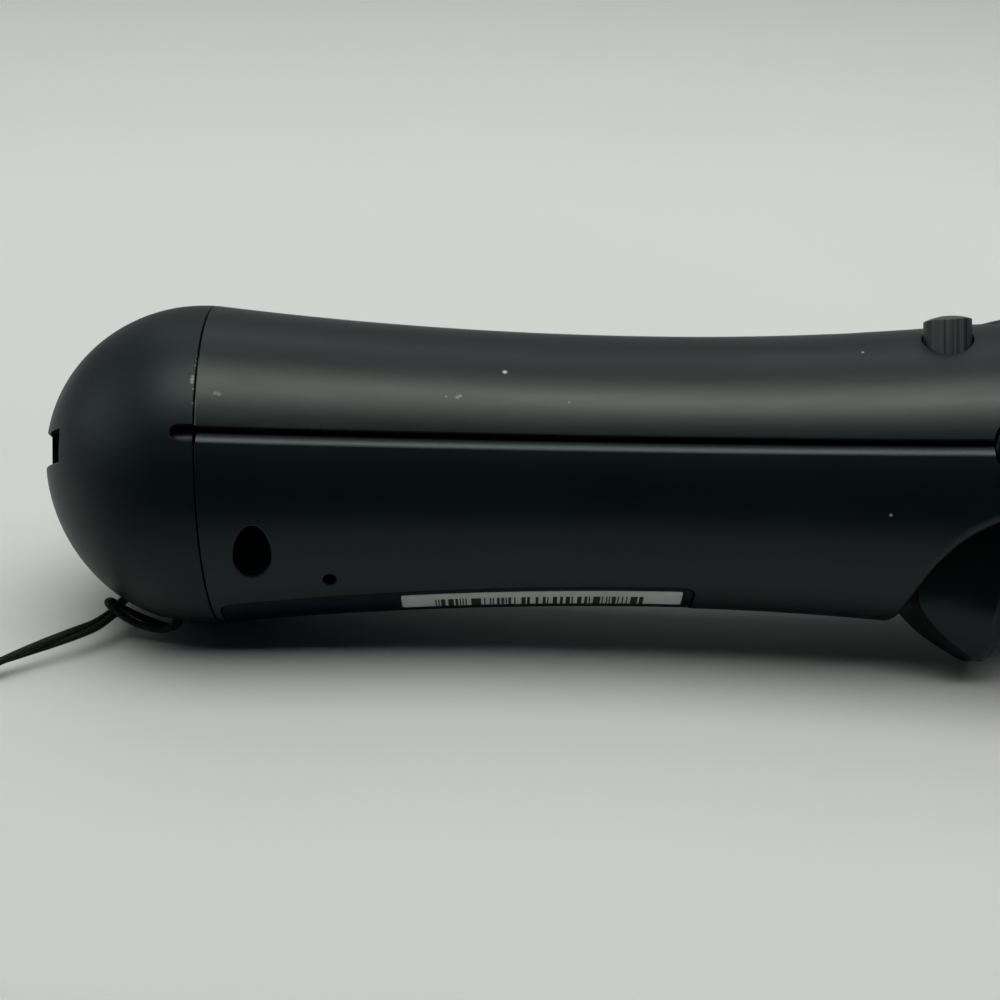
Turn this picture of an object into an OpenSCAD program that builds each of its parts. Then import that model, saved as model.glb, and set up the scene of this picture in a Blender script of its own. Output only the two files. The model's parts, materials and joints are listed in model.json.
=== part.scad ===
// Motion controller wand: a waisted grip of two shells with a round end cap, a light ball on a neck,
// buttons on its front and sides, a trigger on its back and a wrist strap. All sizes in millimetres.
// Pieces are drawn along +X from the tip of the end cap, with the buttons at +Z and the trigger at -Z.
// lay() then lays the wand down on its end cap, ball and trigger, with the tip of the trigger towards -Y.

/* [Grip] */
// Radius of the end cap's dome and of the grip at the seam
cap_r = 19.4; // [18.6:0.1:20.4]
// Straight skirt of the end cap, from its dome to the seam
cap_skirt = 1.2; // [0.8:0.1:2]
// Radius of the grip at its waist
waist_r = 16.5; // [16.3:0.1:17.2]
// Distance from the seam to the waist
waist_run = 53.4; // [51:0.2:58]
// Radius of the swell under the buttons
bulge_r = 19.8; // [19.4:0.1:20.6]
// Distance from the waist to the widest point of the swell
bulge_run = 56; // [54:0.5:60]
// Share of that distance in which the side curves inwards
hollow_share = 0.75; // [0.65:0.05:0.8]
// Radius of the grip at the neck
neck_r = 17; // [16.6:0.1:17.6]
// Distance from the swell to the neck
neck_run = 26; // [25:0.5:29]
// Thickness of the moulded shells
wall = 2; // [1.8:0.05:2.1]

/* [Parting groove] */
// Height of the parting plane above the grip's axis
parting_z = 1.6; // [1.2:0.1:2]
// Height of the groove's square step above the parting plane
groove_step = 1; // [0.6:0.1:1.2]
// Depth of the groove
groove_depth = 1; // [0.6:0.1:1.2]
// Length of the groove's round end in the end cap
groove_tail = 1.8; // [1:0.1:3]

/* [Light ball] */
// Radius of the ball
ball_r = 23; // [22:0.1:24]
// Thickness of the ball
ball_wall = 2; // [1.6:0.1:2.4]
// Radius of the ball's mouth on the collar
mouth_r = 14.5; // [14:0.1:15]
// Length of the collar between the neck and the ball
collar_len = 3.2; // [2:0.1:5]
// Length of the collar's spigots
spigot_len = 3; // [2:0.1:3.4]
// Radius of the collar's bore
collar_bore_r = 9; // [8:0.1:9.4]

/* [End cap] */
// Height of the dock recess across the tip
dock_h = 4.4; // [4.2:0.1:5.2]
// Depth of the recess at the socket
dock_depth = 1.3; // [1:0.1:1.6]
// Depth of the recess beside the socket
dock_deep = 4.2; // [3.8:0.1:4.6]
// Half width of the raised stretch round the socket
dock_island = 4.9; // [4.8:0.1:5.2]
// Width of the socket for the charging plug
usb_w = 7.6; // [7.2:0.1:8]
// Height of the socket
usb_h = 3.8; // [3.4:0.1:4]
// Length of the socket
usb_len = 8; // [7:0.5:9]
// Angle on the dome from its back to the near strap hole
hole_near = 10.6; // [9:0.2:11]
// Angle on the dome from its back to the far strap hole
hole_far = 32.4; // [31:0.2:34]
// Width of a strap hole along the dome
hole_len = 2.6; // [2.2:0.1:3]
// Width of a strap hole across the dome
hole_w = 5; // [4.4:0.1:6]

/* [Buttons] */
// Radius of the face buttons
face_r = 2.9; // [2.6:0.1:3]
// Distance of the face buttons from the middle line
face_y = 9.6; // [9.2:0.1:10]
// Distance along the grip from the swell's widest point back to the lower pair
face_back = 22.4; // [21:0.2:24]
// Distance along the grip from the lower pair to the upper pair
face_span = 22; // [20:0.2:23]
// Height of the face buttons above the axis
face_top = 18; // [17.6:0.1:18.6]
// Tilt of their tops towards the sides
face_tilt = 5; // [3:1:10]
// Radius of their domed tops
face_dome = 7.3; // [6:0.1:9]
// Length of the main button
main_len = 15; // [13:0.2:15.6]
// Width of the main button
main_w = 11; // [10:0.2:11.6]
// Height of the main button above the shell
main_proud = 0.4; // [0.2:0.1:1]
// Radius of the home button
home_r = 3.2; // [2.8:0.1:3.6]
// Distance from the lower face buttons back to the home button
home_back = 11; // [10.5:0.2:12]
// Length of a side button
side_len = 10.2; // [9:0.1:10.8]
// Height of a side button
side_h = 6.4; // [5.6:0.1:6.8]
// Distance from the swell's widest point back to the side buttons
side_back = 14; // [13:0.2:15]
// Gap around every button
button_gap = 0.3; // [0.2:0.05:0.4]
// Travel of the front buttons
press = 1; // [0.6:0.1:1]
// Travel of the side buttons
side_press = 0.7; // [0.4:0.1:0.7]

/* [Trigger] */
// Distance from the swell's widest point to the trigger's pivot
pivot_ahead = 8.6; // [8.2:0.2:9]
// Depth of the pivot below the axis
pivot_z = 9; // [8.6:0.1:9.4]
// Distance from the swell's widest point back to the rear end of the trigger opening
mouth_back = 27; // [26:0.2:27.6]
// Length of the trigger opening
mouth_len = 30; // [29:0.2:30.6]
// Depth of the opening's upper edge below the axis
mouth_z = 5.9; // [5.6:0.1:6.2]
// Radius of the opening's rear corner
mouth_corner = 13.5; // [13:0.1:14]
// Depth of the trigger's tip below the axis
tip_z = 22.35; // [22:0.05:23]
// Distance of the tip from the rear end of the opening
tip_run = 8.8; // [8.4:0.1:9.4]
// Width of the trigger at its tip
tip_w = 12; // [10:0.2:13]
// Width of the trigger inside the shell
trigger_w = 23.2; // [22:0.2:23.4]
// Radius of the finger hollow
finger_r = 6.5; // [6:0.1:6.8]
// Radius of the pivot pin
pin_r = 1; // [0.8:0.05:1.2]

/* [Screws and holes] */
// Distance of the rear screws from the seam
rear_screw_run = 6.8; // [6.6:0.1:8]
// Distance of the rear screws from the middle line
rear_screw_y = 14.4; // [14:0.1:14.6]
// Distance of the front screws from the neck
neck_screw_run = 7.6; // [7.4:0.1:8.6]
// Distance of the front screws from the middle line
neck_screw_y = 11.4; // [11.2:0.1:11.6]
// Radius of the screw wells
well_r = 2.2; // [2:0.05:2.3]
// Radius of the screws' threads
screw_r = 1; // [0.8:0.05:1.1]
// Distance of the reset hole from the seam
reset_run = 15.2; // [14.6:0.2:16]
// Distance of the reset hole from the middle line
reset_y = 11.2; // [11:0.1:11.4]
// Radius of the reset hole
reset_r = 0.75; // [0.6:0.05:0.9]
// Travel of the reset plunger
reset_press = 0.4; // [0.2:0.05:0.5]

/* [Labels] */
// Length of the label strip
label_len = 55.5; // [54:0.5:57]
// Width of the label strip
label_w = 15.8; // [15:0.2:16.4]
// Depth of the label's recess
label_depth = 0.3; // [0.25:0.05:0.4]
// Length of the white sticker
sticker_len = 33.1; // [30:0.1:36]
// Width of the white sticker
sticker_w = 3.8; // [3:0.1:5]
// Distance of the sticker from the middle line
sticker_y = 5.2; // [4:0.1:5.6]

/* [Inside] */
// Radius of the battery cell
cell_r = 9; // [8.8:0.05:9.1]
// Length of the battery cell
cell_len = 50; // [48:0.5:51]
// Depth of the cell's axis below the grip's axis
cell_z = 5.2; // [5.1:0.05:5.3]
// Height of the main board's underside above the axis
board_z = 4.3; // [4.2:0.05:4.5]
// Thickness of the boards
board_t = 1.2; // [1:0.1:1.3]
// Half width of the main board
board_half = 11.5; // [11:0.1:11.8]
// Radius of the vibration motor
motor_r = 5; // [4.4:0.1:5.4]
// Length of the vibration motor
motor_len = 12; // [10:0.5:12]
// Length of the motor's weight
weight_len = 4.5; // [3.5:0.5:4.5]
// Length of the shield can
shield_len = 14; // [12:0.5:15]
// Width of the shield can
shield_w = 16; // [14:0.5:17]
// Length of the radio module
radio_len = 14; // [12:0.5:15]
// Width of the radio module
radio_w = 12; // [10:0.5:13]
// Height of the shield can and of the radio module
can_h = 2; // [1.6:0.1:2]
// Length of the pad between the cell and the board
pad_len = 20; // [16:1:22]
// Width of the pad
pad_w = 8; // [6:0.5:9]

/* [Strap] */
// Diameter of one strand of the strap
strand_d = 0.9; // [0.8:0.05:1]
// Diameter of the doubled strap
strap_d = 1.6; // [1.4:0.05:1.7]
// Mean diameter of the coil's turns
coil_d = 17.6; // [16:0.2:19]
// Number of turns in the coil
coil_turns = 2.75; // [2.25:0.25:3.25]

/* [Hidden] */

$fn = 96;
// Facets of the long profile arcs
arc_fn = 720;
// Clearance of fixed pieces, of running fits and of the moving trigger
fit = 0.1;
running_fit = 0.05;
trigger_gap = 0.4;
// Overlap of cuts past a face and of joined stretches
eps = 1;
far = 60;

black = [0.07, 0.075, 0.075];
dark = [0.13, 0.14, 0.14];
board_green = [0.1, 0.3, 0.18];
metal = [0.7, 0.7, 0.72];

// Stations along the grip
seam_x = cap_r + cap_skirt;
waist_x = seam_x + waist_run;
bulge_x = waist_x + bulge_run;
neck_x = bulge_x + neck_run;

// Radii of the profile's arcs, each level at the waist or at the swell
rear_arc = arc_radius(waist_run, cap_r - waist_r);
swell_arcs = arc_radius(bulge_run, bulge_r - waist_r);
hollow_arc = hollow_share * swell_arcs;
crown_arc = swell_arcs - hollow_arc;
neck_arc = arc_radius(neck_run, bulge_r - neck_r);
crown_run = bulge_run * (1 - hollow_share);

// Light ball on its collar
ball_face_x = neck_x + collar_len;
ball_x = ball_face_x + sqrt(pow(ball_r, 2) - pow(mouth_r, 2));
ball_inner_r = ball_r - ball_wall;
ball_mouth_in = sqrt(pow(ball_inner_r, 2) - pow(ball_x - ball_face_x, 2));
led_face_x = neck_x - spigot_len;
led_board_r = 11;
led_pocket_r = 4.2;
led_pocket = 2.4;

// How the wand lies
pitch = asin((ball_r - cap_r) / (ball_x - cap_r));
tip_x = bulge_x - mouth_back + tip_run;
tip_corner = 1.1;
axis_over_tip = cap_r + (tip_x - cap_r) * sin(pitch);
tip_reach = norm([tip_z - tip_corner, tip_w / 2]);
floor_gap = 0.05;
roll = atan2(tip_w / 2, tip_z - tip_corner) + acos(min(1, (axis_over_tip - floor_gap) / tip_reach));
lay_x = -((cap_r + ball_x) * cos(pitch) + ball_r - cap_r) / 2;
lay_z = cap_r - cap_r * sin(pitch);

// Boards
board_top = board_z + board_t;
board_x0 = seam_x + 13.4;
board_x1 = neck_x - 13;
board_post_x = [board_x0 + 8, board_x1 - 3.4];
board_post_y = 8;
board_post_r = 1.8;
board_screw_r = 0.7;
board_screw_head = 1.4;

// Front buttons
face_x0 = bulge_x - face_back;
face_x1 = face_x0 + face_span;
face_x = [face_x0, face_x0, face_x1, face_x1];
face_side = [-1, 1, -1, 1];
main_x = (face_x0 + face_x1) / 2;
home_x = face_x0 - home_back;
mat_t = 0.6;
mat_dome_top = board_top + mat_t + press + 0.3;
stem_z = mat_dome_top + fit;
flange_t = 1;
flange_over = 1;
shoulder_r = face_r + 0.7;
shoulder_y = face_y - 1.3;
shoulder_top = sqrt(pow(grip_radius(face_x0) - wall, 2) - pow(face_y, 2)) - 0.6;
lens_x = home_x - 7;
lens_r = 0.8;

// Side buttons
side_x = bulge_x - side_back;
side_sunk = 0.4;
side_flange_y = grip_radius(side_x) - wall - 1.6;
side_stem_y = side_flange_y - 1.6;
switch_len = 6;
switch_h = 3.7;

// Trigger
pivot_x = bulge_x + pivot_ahead;
mouth_x = bulge_x - mouth_back;
heel_z = 13.9;
heel_edge = mouth_x + mouth_corner - sqrt(pow(mouth_corner, 2) - pow(mouth_corner + mouth_z - heel_z, 2));
heel_r = norm([pivot_x - heel_edge, pivot_z - heel_z]) - 1.2 * trigger_gap;
trigger_top = mouth_z - 1;
boss_r = 3.2;
boss_half = 8;
lug_t = 2;
lug_half = boss_half + trigger_gap;
ledge_t = 1.6;
ledge_in = 2;
ledge_y = trigger_w / 2 + trigger_gap;
spring_half = 3.4;
spring_wire = 0.6;
spring_r = pin_r + spring_wire;
spring_under = spring_r - spring_wire / 2 - running_fit;
spring_turns = 4;
spring_pitch = 1.2;
spring_leg = 9;
toe_x = bulge_x + 3;
toe_z = 14.4;

// Screws
boss_wall = 1.1;
well_floor = 4.5;
screw_head_r = 1.85;
screw_head_h = 1.5;
screw_len = 8;
screw_at = [
    [seam_x + rear_screw_run, rear_screw_y],
    [seam_x + rear_screw_run, -rear_screw_y],
    [neck_x - neck_screw_run, neck_screw_y],
    [neck_x - neck_screw_run, -neck_screw_y]];
reset_x = seam_x + reset_run;
reset_switch_h = 1.6;
reset_guide_top = 3;
reset_tip = 10.4;
reset_top = board_z - reset_switch_h - reset_press - fit;

// Labels
label_x0 = seam_x + 2.2;
label_t = 0.2;
label_gap = 0.15;
sticker_t = 0.06;
sticker_top = label_depth - label_t - sticker_t - 0.02;
sticker_inset = 1.2;

// Battery and motor
cell_x0 = seam_x + 3.4;
cell_x1 = cell_x0 + cell_len;
cradle_t = 2;
cradle_at = [cell_x0 + 12, cell_x1 - 8];
motor_z = cell_z + 0.6;
weight_x1 = mouth_x - 2.2;
weight_x0 = weight_x1 - weight_len;
motor_x1 = weight_x0 - 1;
motor_x0 = motor_x1 - motor_len;
shaft_r = 0.6;
shaft_in = 3;

// Dock
dock_floor = dock_depth + 0.1;
dock_back = dock_deep + wall;
dock_half = 13;
port_half = 8.6;
port_z = parting_z - usb_h / 2;
port_x1 = seam_x - 3;
contact_y = 7.2;
contact_w = 1.6;

// Strap route in the laid frame, from the hitch to the start of the coil
strap_route = [
    [-93.6, -10.6, 3.2],
    [-96, -13.4, 2.9],
    [-98.4, -16.2, 2.6],
    [-100.8, -19, 2.3],
    [-103.4, -21.6, 2],
    [-106.4, -23.8, 1.7],
    [-109.8, -25.4, 1.4],
    [-113.4, -26.2, 1.2],
    [-115.4, -26.4, 1.15],
    [-117, -26.4, 1.15]];
strap_way = unit(strap_route[0] - strap_route[1]);
strand_out = (strand_d / 2 + 0.02) * unit(cross([0, 0, 1], strap_way));
coil_rings = 24;
coil_pitch = strap_d + 0.55;
coil_out_r = coil_d / 2 + coil_pitch * coil_turns / 2;
coil_start = strap_route[len(strap_route) - 1];
coil_in_r = coil_out_r - coil_pitch * coil_turns;
coil_centre = [coil_start.x - strap_d, coil_start.y - coil_out_r, coil_start.z];
coil_turned = 90 + 360 * coil_turns;
tuck_r = 3.4;
tuck_turn = 110;
tuck_rings = 6;
tuck_at = coil_centre + (coil_in_r - tuck_r) * [cos(coil_turned), sin(coil_turned), 0];
tuck_way = [-sin(coil_turned + tuck_turn), cos(coil_turned + tuck_turn), 0];
tuck_path = [for (i = [1:tuck_rings])
    let(a = coil_turned + tuck_turn * i / tuck_rings)
    tuck_at + tuck_r * [cos(a), sin(a), 0]];
coil_path = concat(
    [coil_start],
    [for (i = [0:coil_rings * coil_turns])
        let(turn = i / coil_rings, a = 90 + 360 * turn, r = coil_out_r - coil_pitch * turn)
        coil_centre + [r * cos(a), r * sin(a), 0]],
    tuck_path,
    [tuck_path[tuck_rings - 1] + strap_d * tuck_way]);
end_len = 3.2;
end_r = 1.2;
tie_w = 3;
tie_t = 0.3;
tie_a = 225;

// Hitch round the bridge between the strap holes: angle on the dome, distance from its centre, side
hitch_route = [
    [34, 20.7, 0.15],
    [32.9, 19.1, 0.5],
    [31.6, 17.4, 0.7],
    [28, 16, 0.9],
    [21, 15.3, 0.9],
    [16, 15, 0.9],
    [12.2, 15.8, 0.9],
    [11, 17.2, 0.9],
    [10.3, 18.9, 0.9],
    [11.2, 20.1, 0.9],
    [14, 20.4, 0.75],
    [19, 20.35, 0.5],
    [25, 20.4, 0.55],
    [29.5, 20.5, 0.95],
    [33, 20.6, 1.28],
    [35.6, 20.6, 1.1],
    [37, 20.6, 0.4],
    [37.2, 20.7, -0.4],
    [37, 20.8, -1.25],
    [35.6, 20.9, -1.95],
    [33, 21, -2.05],
    [29.5, 21.15, -1.45],
    [25, 21.25, -0.7],
    [19, 21.1, -0.55],
    [14, 20.75, -0.75],
    [11.2, 20.1, -0.9],
    [10.3, 18.9, -0.9],
    [11, 17.2, -0.9],
    [12.2, 15.8, -0.9],
    [16, 15, -0.9],
    [21, 15.3, -0.9],
    [28, 16, -0.9],
    [31.6, 17.4, -0.7],
    [32.9, 19.1, -0.52],
    [34, 20.7, -0.92]];
hitch_lead = [strap_route[0], strap_route[0] + strand_d * strap_way];
hitch_path = concat(
    [for (p = hitch_lead) p + strand_out],
    [for (p = hitch_route) laid(dome_point(p))],
    [for (i = [1, 0]) hitch_lead[i] - strand_out]);

echo("least gap between the strap's turns", least_gap(coil_path, strap_d, coil_rings / 2));
assert(least_gap(coil_path, strap_d, coil_rings / 2) > 0.4, "the turns of the strap touch");

// Radius of an arc that is level at one end and rises over a run
function arc_radius(run, rise) = (run * run + rise * rise) / (2 * rise);

// Radius of the grip at a station along it
function grip_radius(x) =
    x < waist_x ? waist_r + rear_arc - sqrt(pow(rear_arc, 2) - pow(waist_x - x, 2))
    : x < bulge_x - crown_run ? waist_r + hollow_arc - sqrt(pow(hollow_arc, 2) - pow(x - waist_x, 2))
    : x < bulge_x ? bulge_r - crown_arc + sqrt(pow(crown_arc, 2) - pow(bulge_x - x, 2))
    : bulge_r - neck_arc + sqrt(pow(neck_arc, 2) - pow(x - bulge_x, 2));

// Point where a line from p touches a circle, on the left (side 1) or right (side -1)
function touch(p, c, r, side) =
    let(d = c - p, a = atan2(d.y, d.x) + side * asin(r / norm(d)))
    p + sqrt(d * d - r * r) * [cos(a), sin(a)];

function unit(v) = v / norm(v);

// Direction of a path at one of its points
function tangent(path, i) = unit(path[min(i + 1, len(path) - 1)] - path[max(i - 1, 0)]);

// Direction u turned square to t
function carried(u, t) = unit(u - (u * t) * t);

// Point on the dome by angle from its back, distance from its centre and side
function dome_point(p) = [cap_r - p[1] * sin(p[0]), p[2], -p[1] * cos(p[0])];

// A wand-frame point as the wand lies
function laid(p) =
    let(q = [p.x, p.y * cos(roll) + p.z * sin(roll), p.z * cos(roll) - p.y * sin(roll)])
    [q.x * cos(pitch) - q.z * sin(pitch) + lay_x, q.y, q.x * sin(pitch) + q.z * cos(pitch) + lay_z];

// Least distance between the skins of a tube's far-apart rings
function least_gap(path, d, skip) =
    min([for (i = [0:len(path) - 1]) for (j = [i + skip:1:len(path) - 1]) norm(path[i] - path[j])]) - d;

// Lays a wand-frame piece down on the table
module lay() {
    translate([lay_x, 0, lay_z])
        rotate([-roll, -pitch, 0])
            children();
}

// Tube of a given diameter swept along a path, square to it and without twist
module tube(path, d, sides, up = [0, 0, 1]) {
    n = len(path);
    aside = [for (i = 0, u = cross(tangent(path, 0), up); i < n; u = carried(u, tangent(path, i)), i = i + 1)
        carried(u, tangent(path, i))];
    rings = [for (i = [0:n - 1])
        let(v = cross(aside[i], tangent(path, i)))
        for (k = [0:sides - 1]) path[i] + d / 2 * (cos(360 * k / sides) * aside[i] + sin(360 * k / sides) * v)];
    skin = [for (i = [0:n - 2]) for (k = [0:sides - 1])
        let(a = i * sides + k, b = i * sides + (k + 1) % sides)
        for (f = [[a, b, b + sides], [a, b + sides, a + sides]]) f];
    last = (n - 1) * sides;
    caps = [for (k = [1:sides - 2]) for (f = [[0, k + 1, k], [last, last + k, last + k + 1]]) f];
    polyhedron(points = rings, faces = concat(skin, caps));
}

// Flat outline with round ends, along X
module stadium(len, w) {
    square([len - w, w], center = true);
    for (s = [-1, 1])
        translate([s * (len - w) / 2, 0])
            circle(d = w);
}

// Half outline of the grip, grown outwards and carried past its ends
module grip_outline(grow, past) {
    split = crown_run * (crown_arc + grow) / crown_arc;
    reach = max(cap_r, bulge_r) + grow + eps;
    difference() {
        translate([0, seam_x - past])
            square([reach, waist_run + past + eps]);
        translate([waist_r + rear_arc, waist_x])
            circle(r = rear_arc - grow, $fn = arc_fn);
    }
    difference() {
        translate([0, waist_x])
            square([reach, bulge_run - split]);
        translate([waist_r + hollow_arc, waist_x])
            circle(r = hollow_arc - grow, $fn = arc_fn);
    }
    intersection() {
        translate([0, bulge_x - split - eps])
            square([reach, split + 2 * eps]);
        translate([bulge_r - crown_arc, bulge_x])
            circle(r = crown_arc + grow, $fn = arc_fn);
    }
    intersection() {
        translate([0, bulge_x])
            square([reach, neck_run + past]);
        translate([bulge_r - neck_arc, bulge_x])
            circle(r = neck_arc + grow, $fn = arc_fn);
    }
}

// The grip as a solid of revolution about +X
module grip(grow = 0, past = 0, side = -1) {
    turned(side)
        grip_outline(grow, past);
}

// The hollow grip, cut at the parting plane; side 1 keeps the front
module half_shell(side) {
    intersection() {
        difference() {
            grip(side = -side);
            grip(-wall, eps, -side);
        }
        half_space(side);
    }
}

module half_space(side) {
    translate([neck_x / 2, 0, parting_z + side * far / 2])
        cube([2 * neck_x, 2 * far, far], center = true);
}

// Half outline of a ball about the axis
module ball_outline(x, r) {
    intersection() {
        translate([0, x])
            circle(r = r, $fn = 192);
        translate([0, x - r])
            square([r, 2 * r]);
    }
}

// Turns a half outline about +X, with the turn closing at the front (side 1) or back (side -1)
module turned(side = -1) {
    rotate([90 + 90 * side, 0, 0])
        rotate([0, 90, 0])
            rotate_extrude($fn = 192)
                children();
}

// The dome of the end cap as a solid
module cap_dome(grow) {
    turned(1)
        ball_outline(cap_r, cap_r + grow);
}

// Groove section: distance inwards from the grip's side, height
module groove_section(base, inward) {
    polygon([
        [base - inward * eps, parting_z + groove_step],
        [base + inward * groove_depth, parting_z + groove_step],
        [base + inward * groove_depth, parting_z],
        [base - inward * eps, parting_z - groove_depth - eps]]);
}

// One stretch of the groove along an arc of the grip's side, from a start angle
module groove_arc(x, y, base, inward, start, sweep) {
    translate([x, y, 0])
        rotate([0, 0, start])
            rotate_extrude(angle = sweep, $fn = arc_fn)
                groove_section(base, inward);
}

// The groove along both sides, square above and sloped below
module groove() {
    hollow_turn = asin((bulge_run - crown_run) / hollow_arc);
    for (s = [0, 1])
        mirror([0, s, 0]) {
            groove_arc(waist_x, waist_r + rear_arc, rear_arc, 1, -90 - asin((waist_run + eps) / rear_arc),
                asin((waist_run + eps) / rear_arc));
            groove_arc(waist_x, waist_r + hollow_arc, hollow_arc, 1, -90, hollow_turn);
            groove_arc(bulge_x, bulge_r - crown_arc, crown_arc, -1, 90, hollow_turn);
            groove_arc(bulge_x, bulge_r - neck_arc, neck_arc, -1, 90 - asin((neck_run + eps) / neck_arc),
                asin((neck_run + eps) / neck_arc));
        }
}

// Round end of the groove in the end cap
module groove_end() {
    difference() {
        translate([seam_x, far / 2, parting_z])
            rotate([90, 0, 0])
                linear_extrude(far)
                    stadium(2 * groove_tail, 2 * groove_step);
        rotate([0, 90, 0])
            cylinder(r = cap_r - groove_depth, h = 2 * seam_x);
    }
}

// Pill-shaped prism across the grip at a side button
module side_prism(grow, y0, y1, side) {
    translate([side_x, side * y0, parting_z])
        rotate([-90 * side, 0, 0])
            linear_extrude(y1 - y0)
                stadium(side_len + 2 * grow, side_h + 2 * grow);
}

// Oval prism at the main button
module main_prism(grow, z0, z1) {
    translate([main_x, 0, z0])
        linear_extrude(z1 - z0)
            stadium(main_len + 2 * grow, main_w + 2 * grow);
}

module post(at, r, z0, z1) {
    translate([at.x, at.y, z0])
        cylinder(r = r, h = z1 - z0);
}

// Piece of the shell wall that joins ribs and posts to it
module inside_wall(side) {
    intersection() {
        children();
        grip(-wall / 2, side = -side);
    }
}

module front_shell() {
    color(dark)
        lay()
            difference() {
                union() {
                    half_shell(1);
                    inside_wall(1) {
                        union() {
                            for (p = screw_at)
                                post(p, well_r + boss_wall, parting_z, far);
                            for (x = board_post_x, s = [-1, 1])
                                post([x, s * board_post_y], board_post_r, board_top, far);
                        }
                    }
                }
                groove();
                for (p = screw_at)
                    post(p, screw_r + running_fit, parting_z - eps, parting_z + screw_len);
                for (x = board_post_x, s = [-1, 1])
                    post([x, s * board_post_y], board_screw_r + running_fit, board_top - eps, board_top + 5);
                for (i = [0:3])
                    post([face_x[i], face_side[i] * face_y], face_r + button_gap, parting_z + eps, far);
                post([home_x, 0], home_r + button_gap, parting_z + eps, far);
                post([lens_x, 0], lens_r + fit, parting_z + eps, far);
                main_prism(button_gap, parting_z + eps, far);
                for (s = [-1, 1])
                    side_prism(button_gap, side_flange_y, far, s);
            }
}

// Outline of the trigger opening seen from the side, drawn inwards
module mouth_outline(inset = 0) {
    translate([mouth_x + inset, -far])
        square([mouth_corner - inset, far - mouth_z - mouth_corner]);
    translate([mouth_x + mouth_corner, -mouth_z - mouth_corner])
        circle(r = mouth_corner - inset, $fn = 192);
    translate([mouth_x + mouth_corner, -far])
        square([mouth_len - mouth_corner - boss_half, far - mouth_z - inset]);
    translate([mouth_x + mouth_len - boss_half, -mouth_z - boss_half])
        circle(r = boss_half - inset, $fn = 192);
    translate([mouth_x + mouth_len - boss_half, -far])
        square([boss_half - inset, far - mouth_z - boss_half]);
}

// Extrudes a side-view outline across the grip
module across(width) {
    translate([0, width / 2, 0])
        rotate([90, 0, 0])
            linear_extrude(width)
                children();
}

module label_prism(len, w, x0, y = 0, corner = 1.6) {
    translate([x0 + len / 2, y, -far])
        linear_extrude(far)
            round_box(len, w, corner);
}

module round_box(len, w, corner) {
    square([len - 2 * corner, w], center = true);
    square([len, w - 2 * corner], center = true);
    for (sx = [-1, 1], sy = [-1, 1])
        translate([sx * (len / 2 - corner), sy * (w / 2 - corner)])
            circle(r = corner);
}

module back_shell() {
    color(black)
        lay()
            difference() {
                union() {
                    half_shell(-1);
                    inside_wall(-1) {
                        union() {
                            for (p = screw_at)
                                post(p, well_r + boss_wall, -far, parting_z);
                            for (x = cradle_at)
                                translate([x, -cell_r - 1.5, -far])
                                    cube([cradle_t, 2 * cell_r + 3, far - cell_z - 2]);
                            translate([motor_x0 + motor_len / 2, -motor_r + 1, -far])
                                cube([cradle_t, 2 * motor_r - 2, far - motor_z]);
                            for (s = [-1, 1])
                                translate([pivot_x - boss_r, s * (lug_half + lug_t / 2) - lug_t / 2, -far])
                                    cube([2 * boss_r, lug_t, far - pivot_z + boss_r]);
                            for (s = [-1, 1])
                                translate([mouth_x + ledge_in, s * (ledge_y + far / 2) - far / 2, -mouth_z])
                                    cube([mouth_len - 2 * ledge_in, far, ledge_t]);
                            translate([pivot_x + spring_leg - 2, -spring_half, -far])
                                cube([1.5, 2 * spring_half, far - pivot_z + spring_under]);
                            post([reset_x, -reset_y], reset_r + 0.9, -far, -reset_guide_top);
                        }
                    }
                }
                groove();
                across(2 * far)
                    mouth_outline();
                for (p = screw_at) {
                    post(p, well_r, -far, -well_floor);
                    post(p, screw_r + fit, -far, parting_z + eps);
                }
                for (s = [-1, 1])
                    side_prism(button_gap, side_flange_y, far, s);
                translate([cell_x0 - eps, 0, -cell_z])
                    rotate([0, 90, 0])
                        cylinder(r = cell_r + fit, h = cell_len + 2 * eps);
                translate([motor_x0 - eps, 0, -motor_z])
                    rotate([0, 90, 0])
                        cylinder(r = motor_r + fit, h = motor_len + 2 * eps);
                pivot_bar(pin_r, 4 * lug_half);
                post([reset_x, -reset_y], reset_r, -far, 0);
                difference() {
                    label_prism(label_len + 2 * label_gap, label_w + 2 * label_gap, label_x0 - label_gap);
                    grip(-label_depth, eps, 1);
                }
            }
}

module pivot_bar(r, len) {
    translate([pivot_x, 0, -pivot_z])
        rotate([90, 0, 0])
            cylinder(r = r, h = len, center = true);
}

// Layer of the label recess between two depths, within a round-cornered outline
module label_layer(top, under, len, w, x0, y = 0, corner = 1.6) {
    intersection() {
        difference() {
            grip(-top, side = 1);
            grip(-under, eps, 1);
        }
        label_prism(len, w, x0, y, corner);
    }
}

module label_strip() {
    color([0.06, 0.07, 0.1])
        lay()
            label_layer(label_depth - label_t, label_depth, label_len, label_w, label_x0);
}

module bar_sticker() {
    color([0.85, 0.86, 0.84])
        lay()
            label_layer(sticker_top, sticker_top + sticker_t, sticker_len, sticker_w,
                label_x0 + label_len - sticker_inset - sticker_len, -sticker_y, 0.4);
}

// Half outline of the end cap: dome, skirt and the spigot that fits into the grip
module cap_outline() {
    rim_r = grip_radius(seam_x + spigot_len) - wall - fit;
    rim_in = rim_r - wall / 2;
    difference() {
        union() {
            intersection() {
                ball_outline(cap_r, cap_r);
                square([cap_r, cap_r]);
            }
            translate([0, cap_r])
                square([cap_r, cap_skirt]);
            translate([0, cap_r])
                square([rim_r, cap_skirt + spigot_len]);
        }
        intersection() {
            ball_outline(cap_r, cap_r - wall);
            square([rim_in, cap_r]);
        }
        translate([0, cap_r])
            square([rim_in, cap_skirt + spigot_len + eps]);
    }
}

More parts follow.
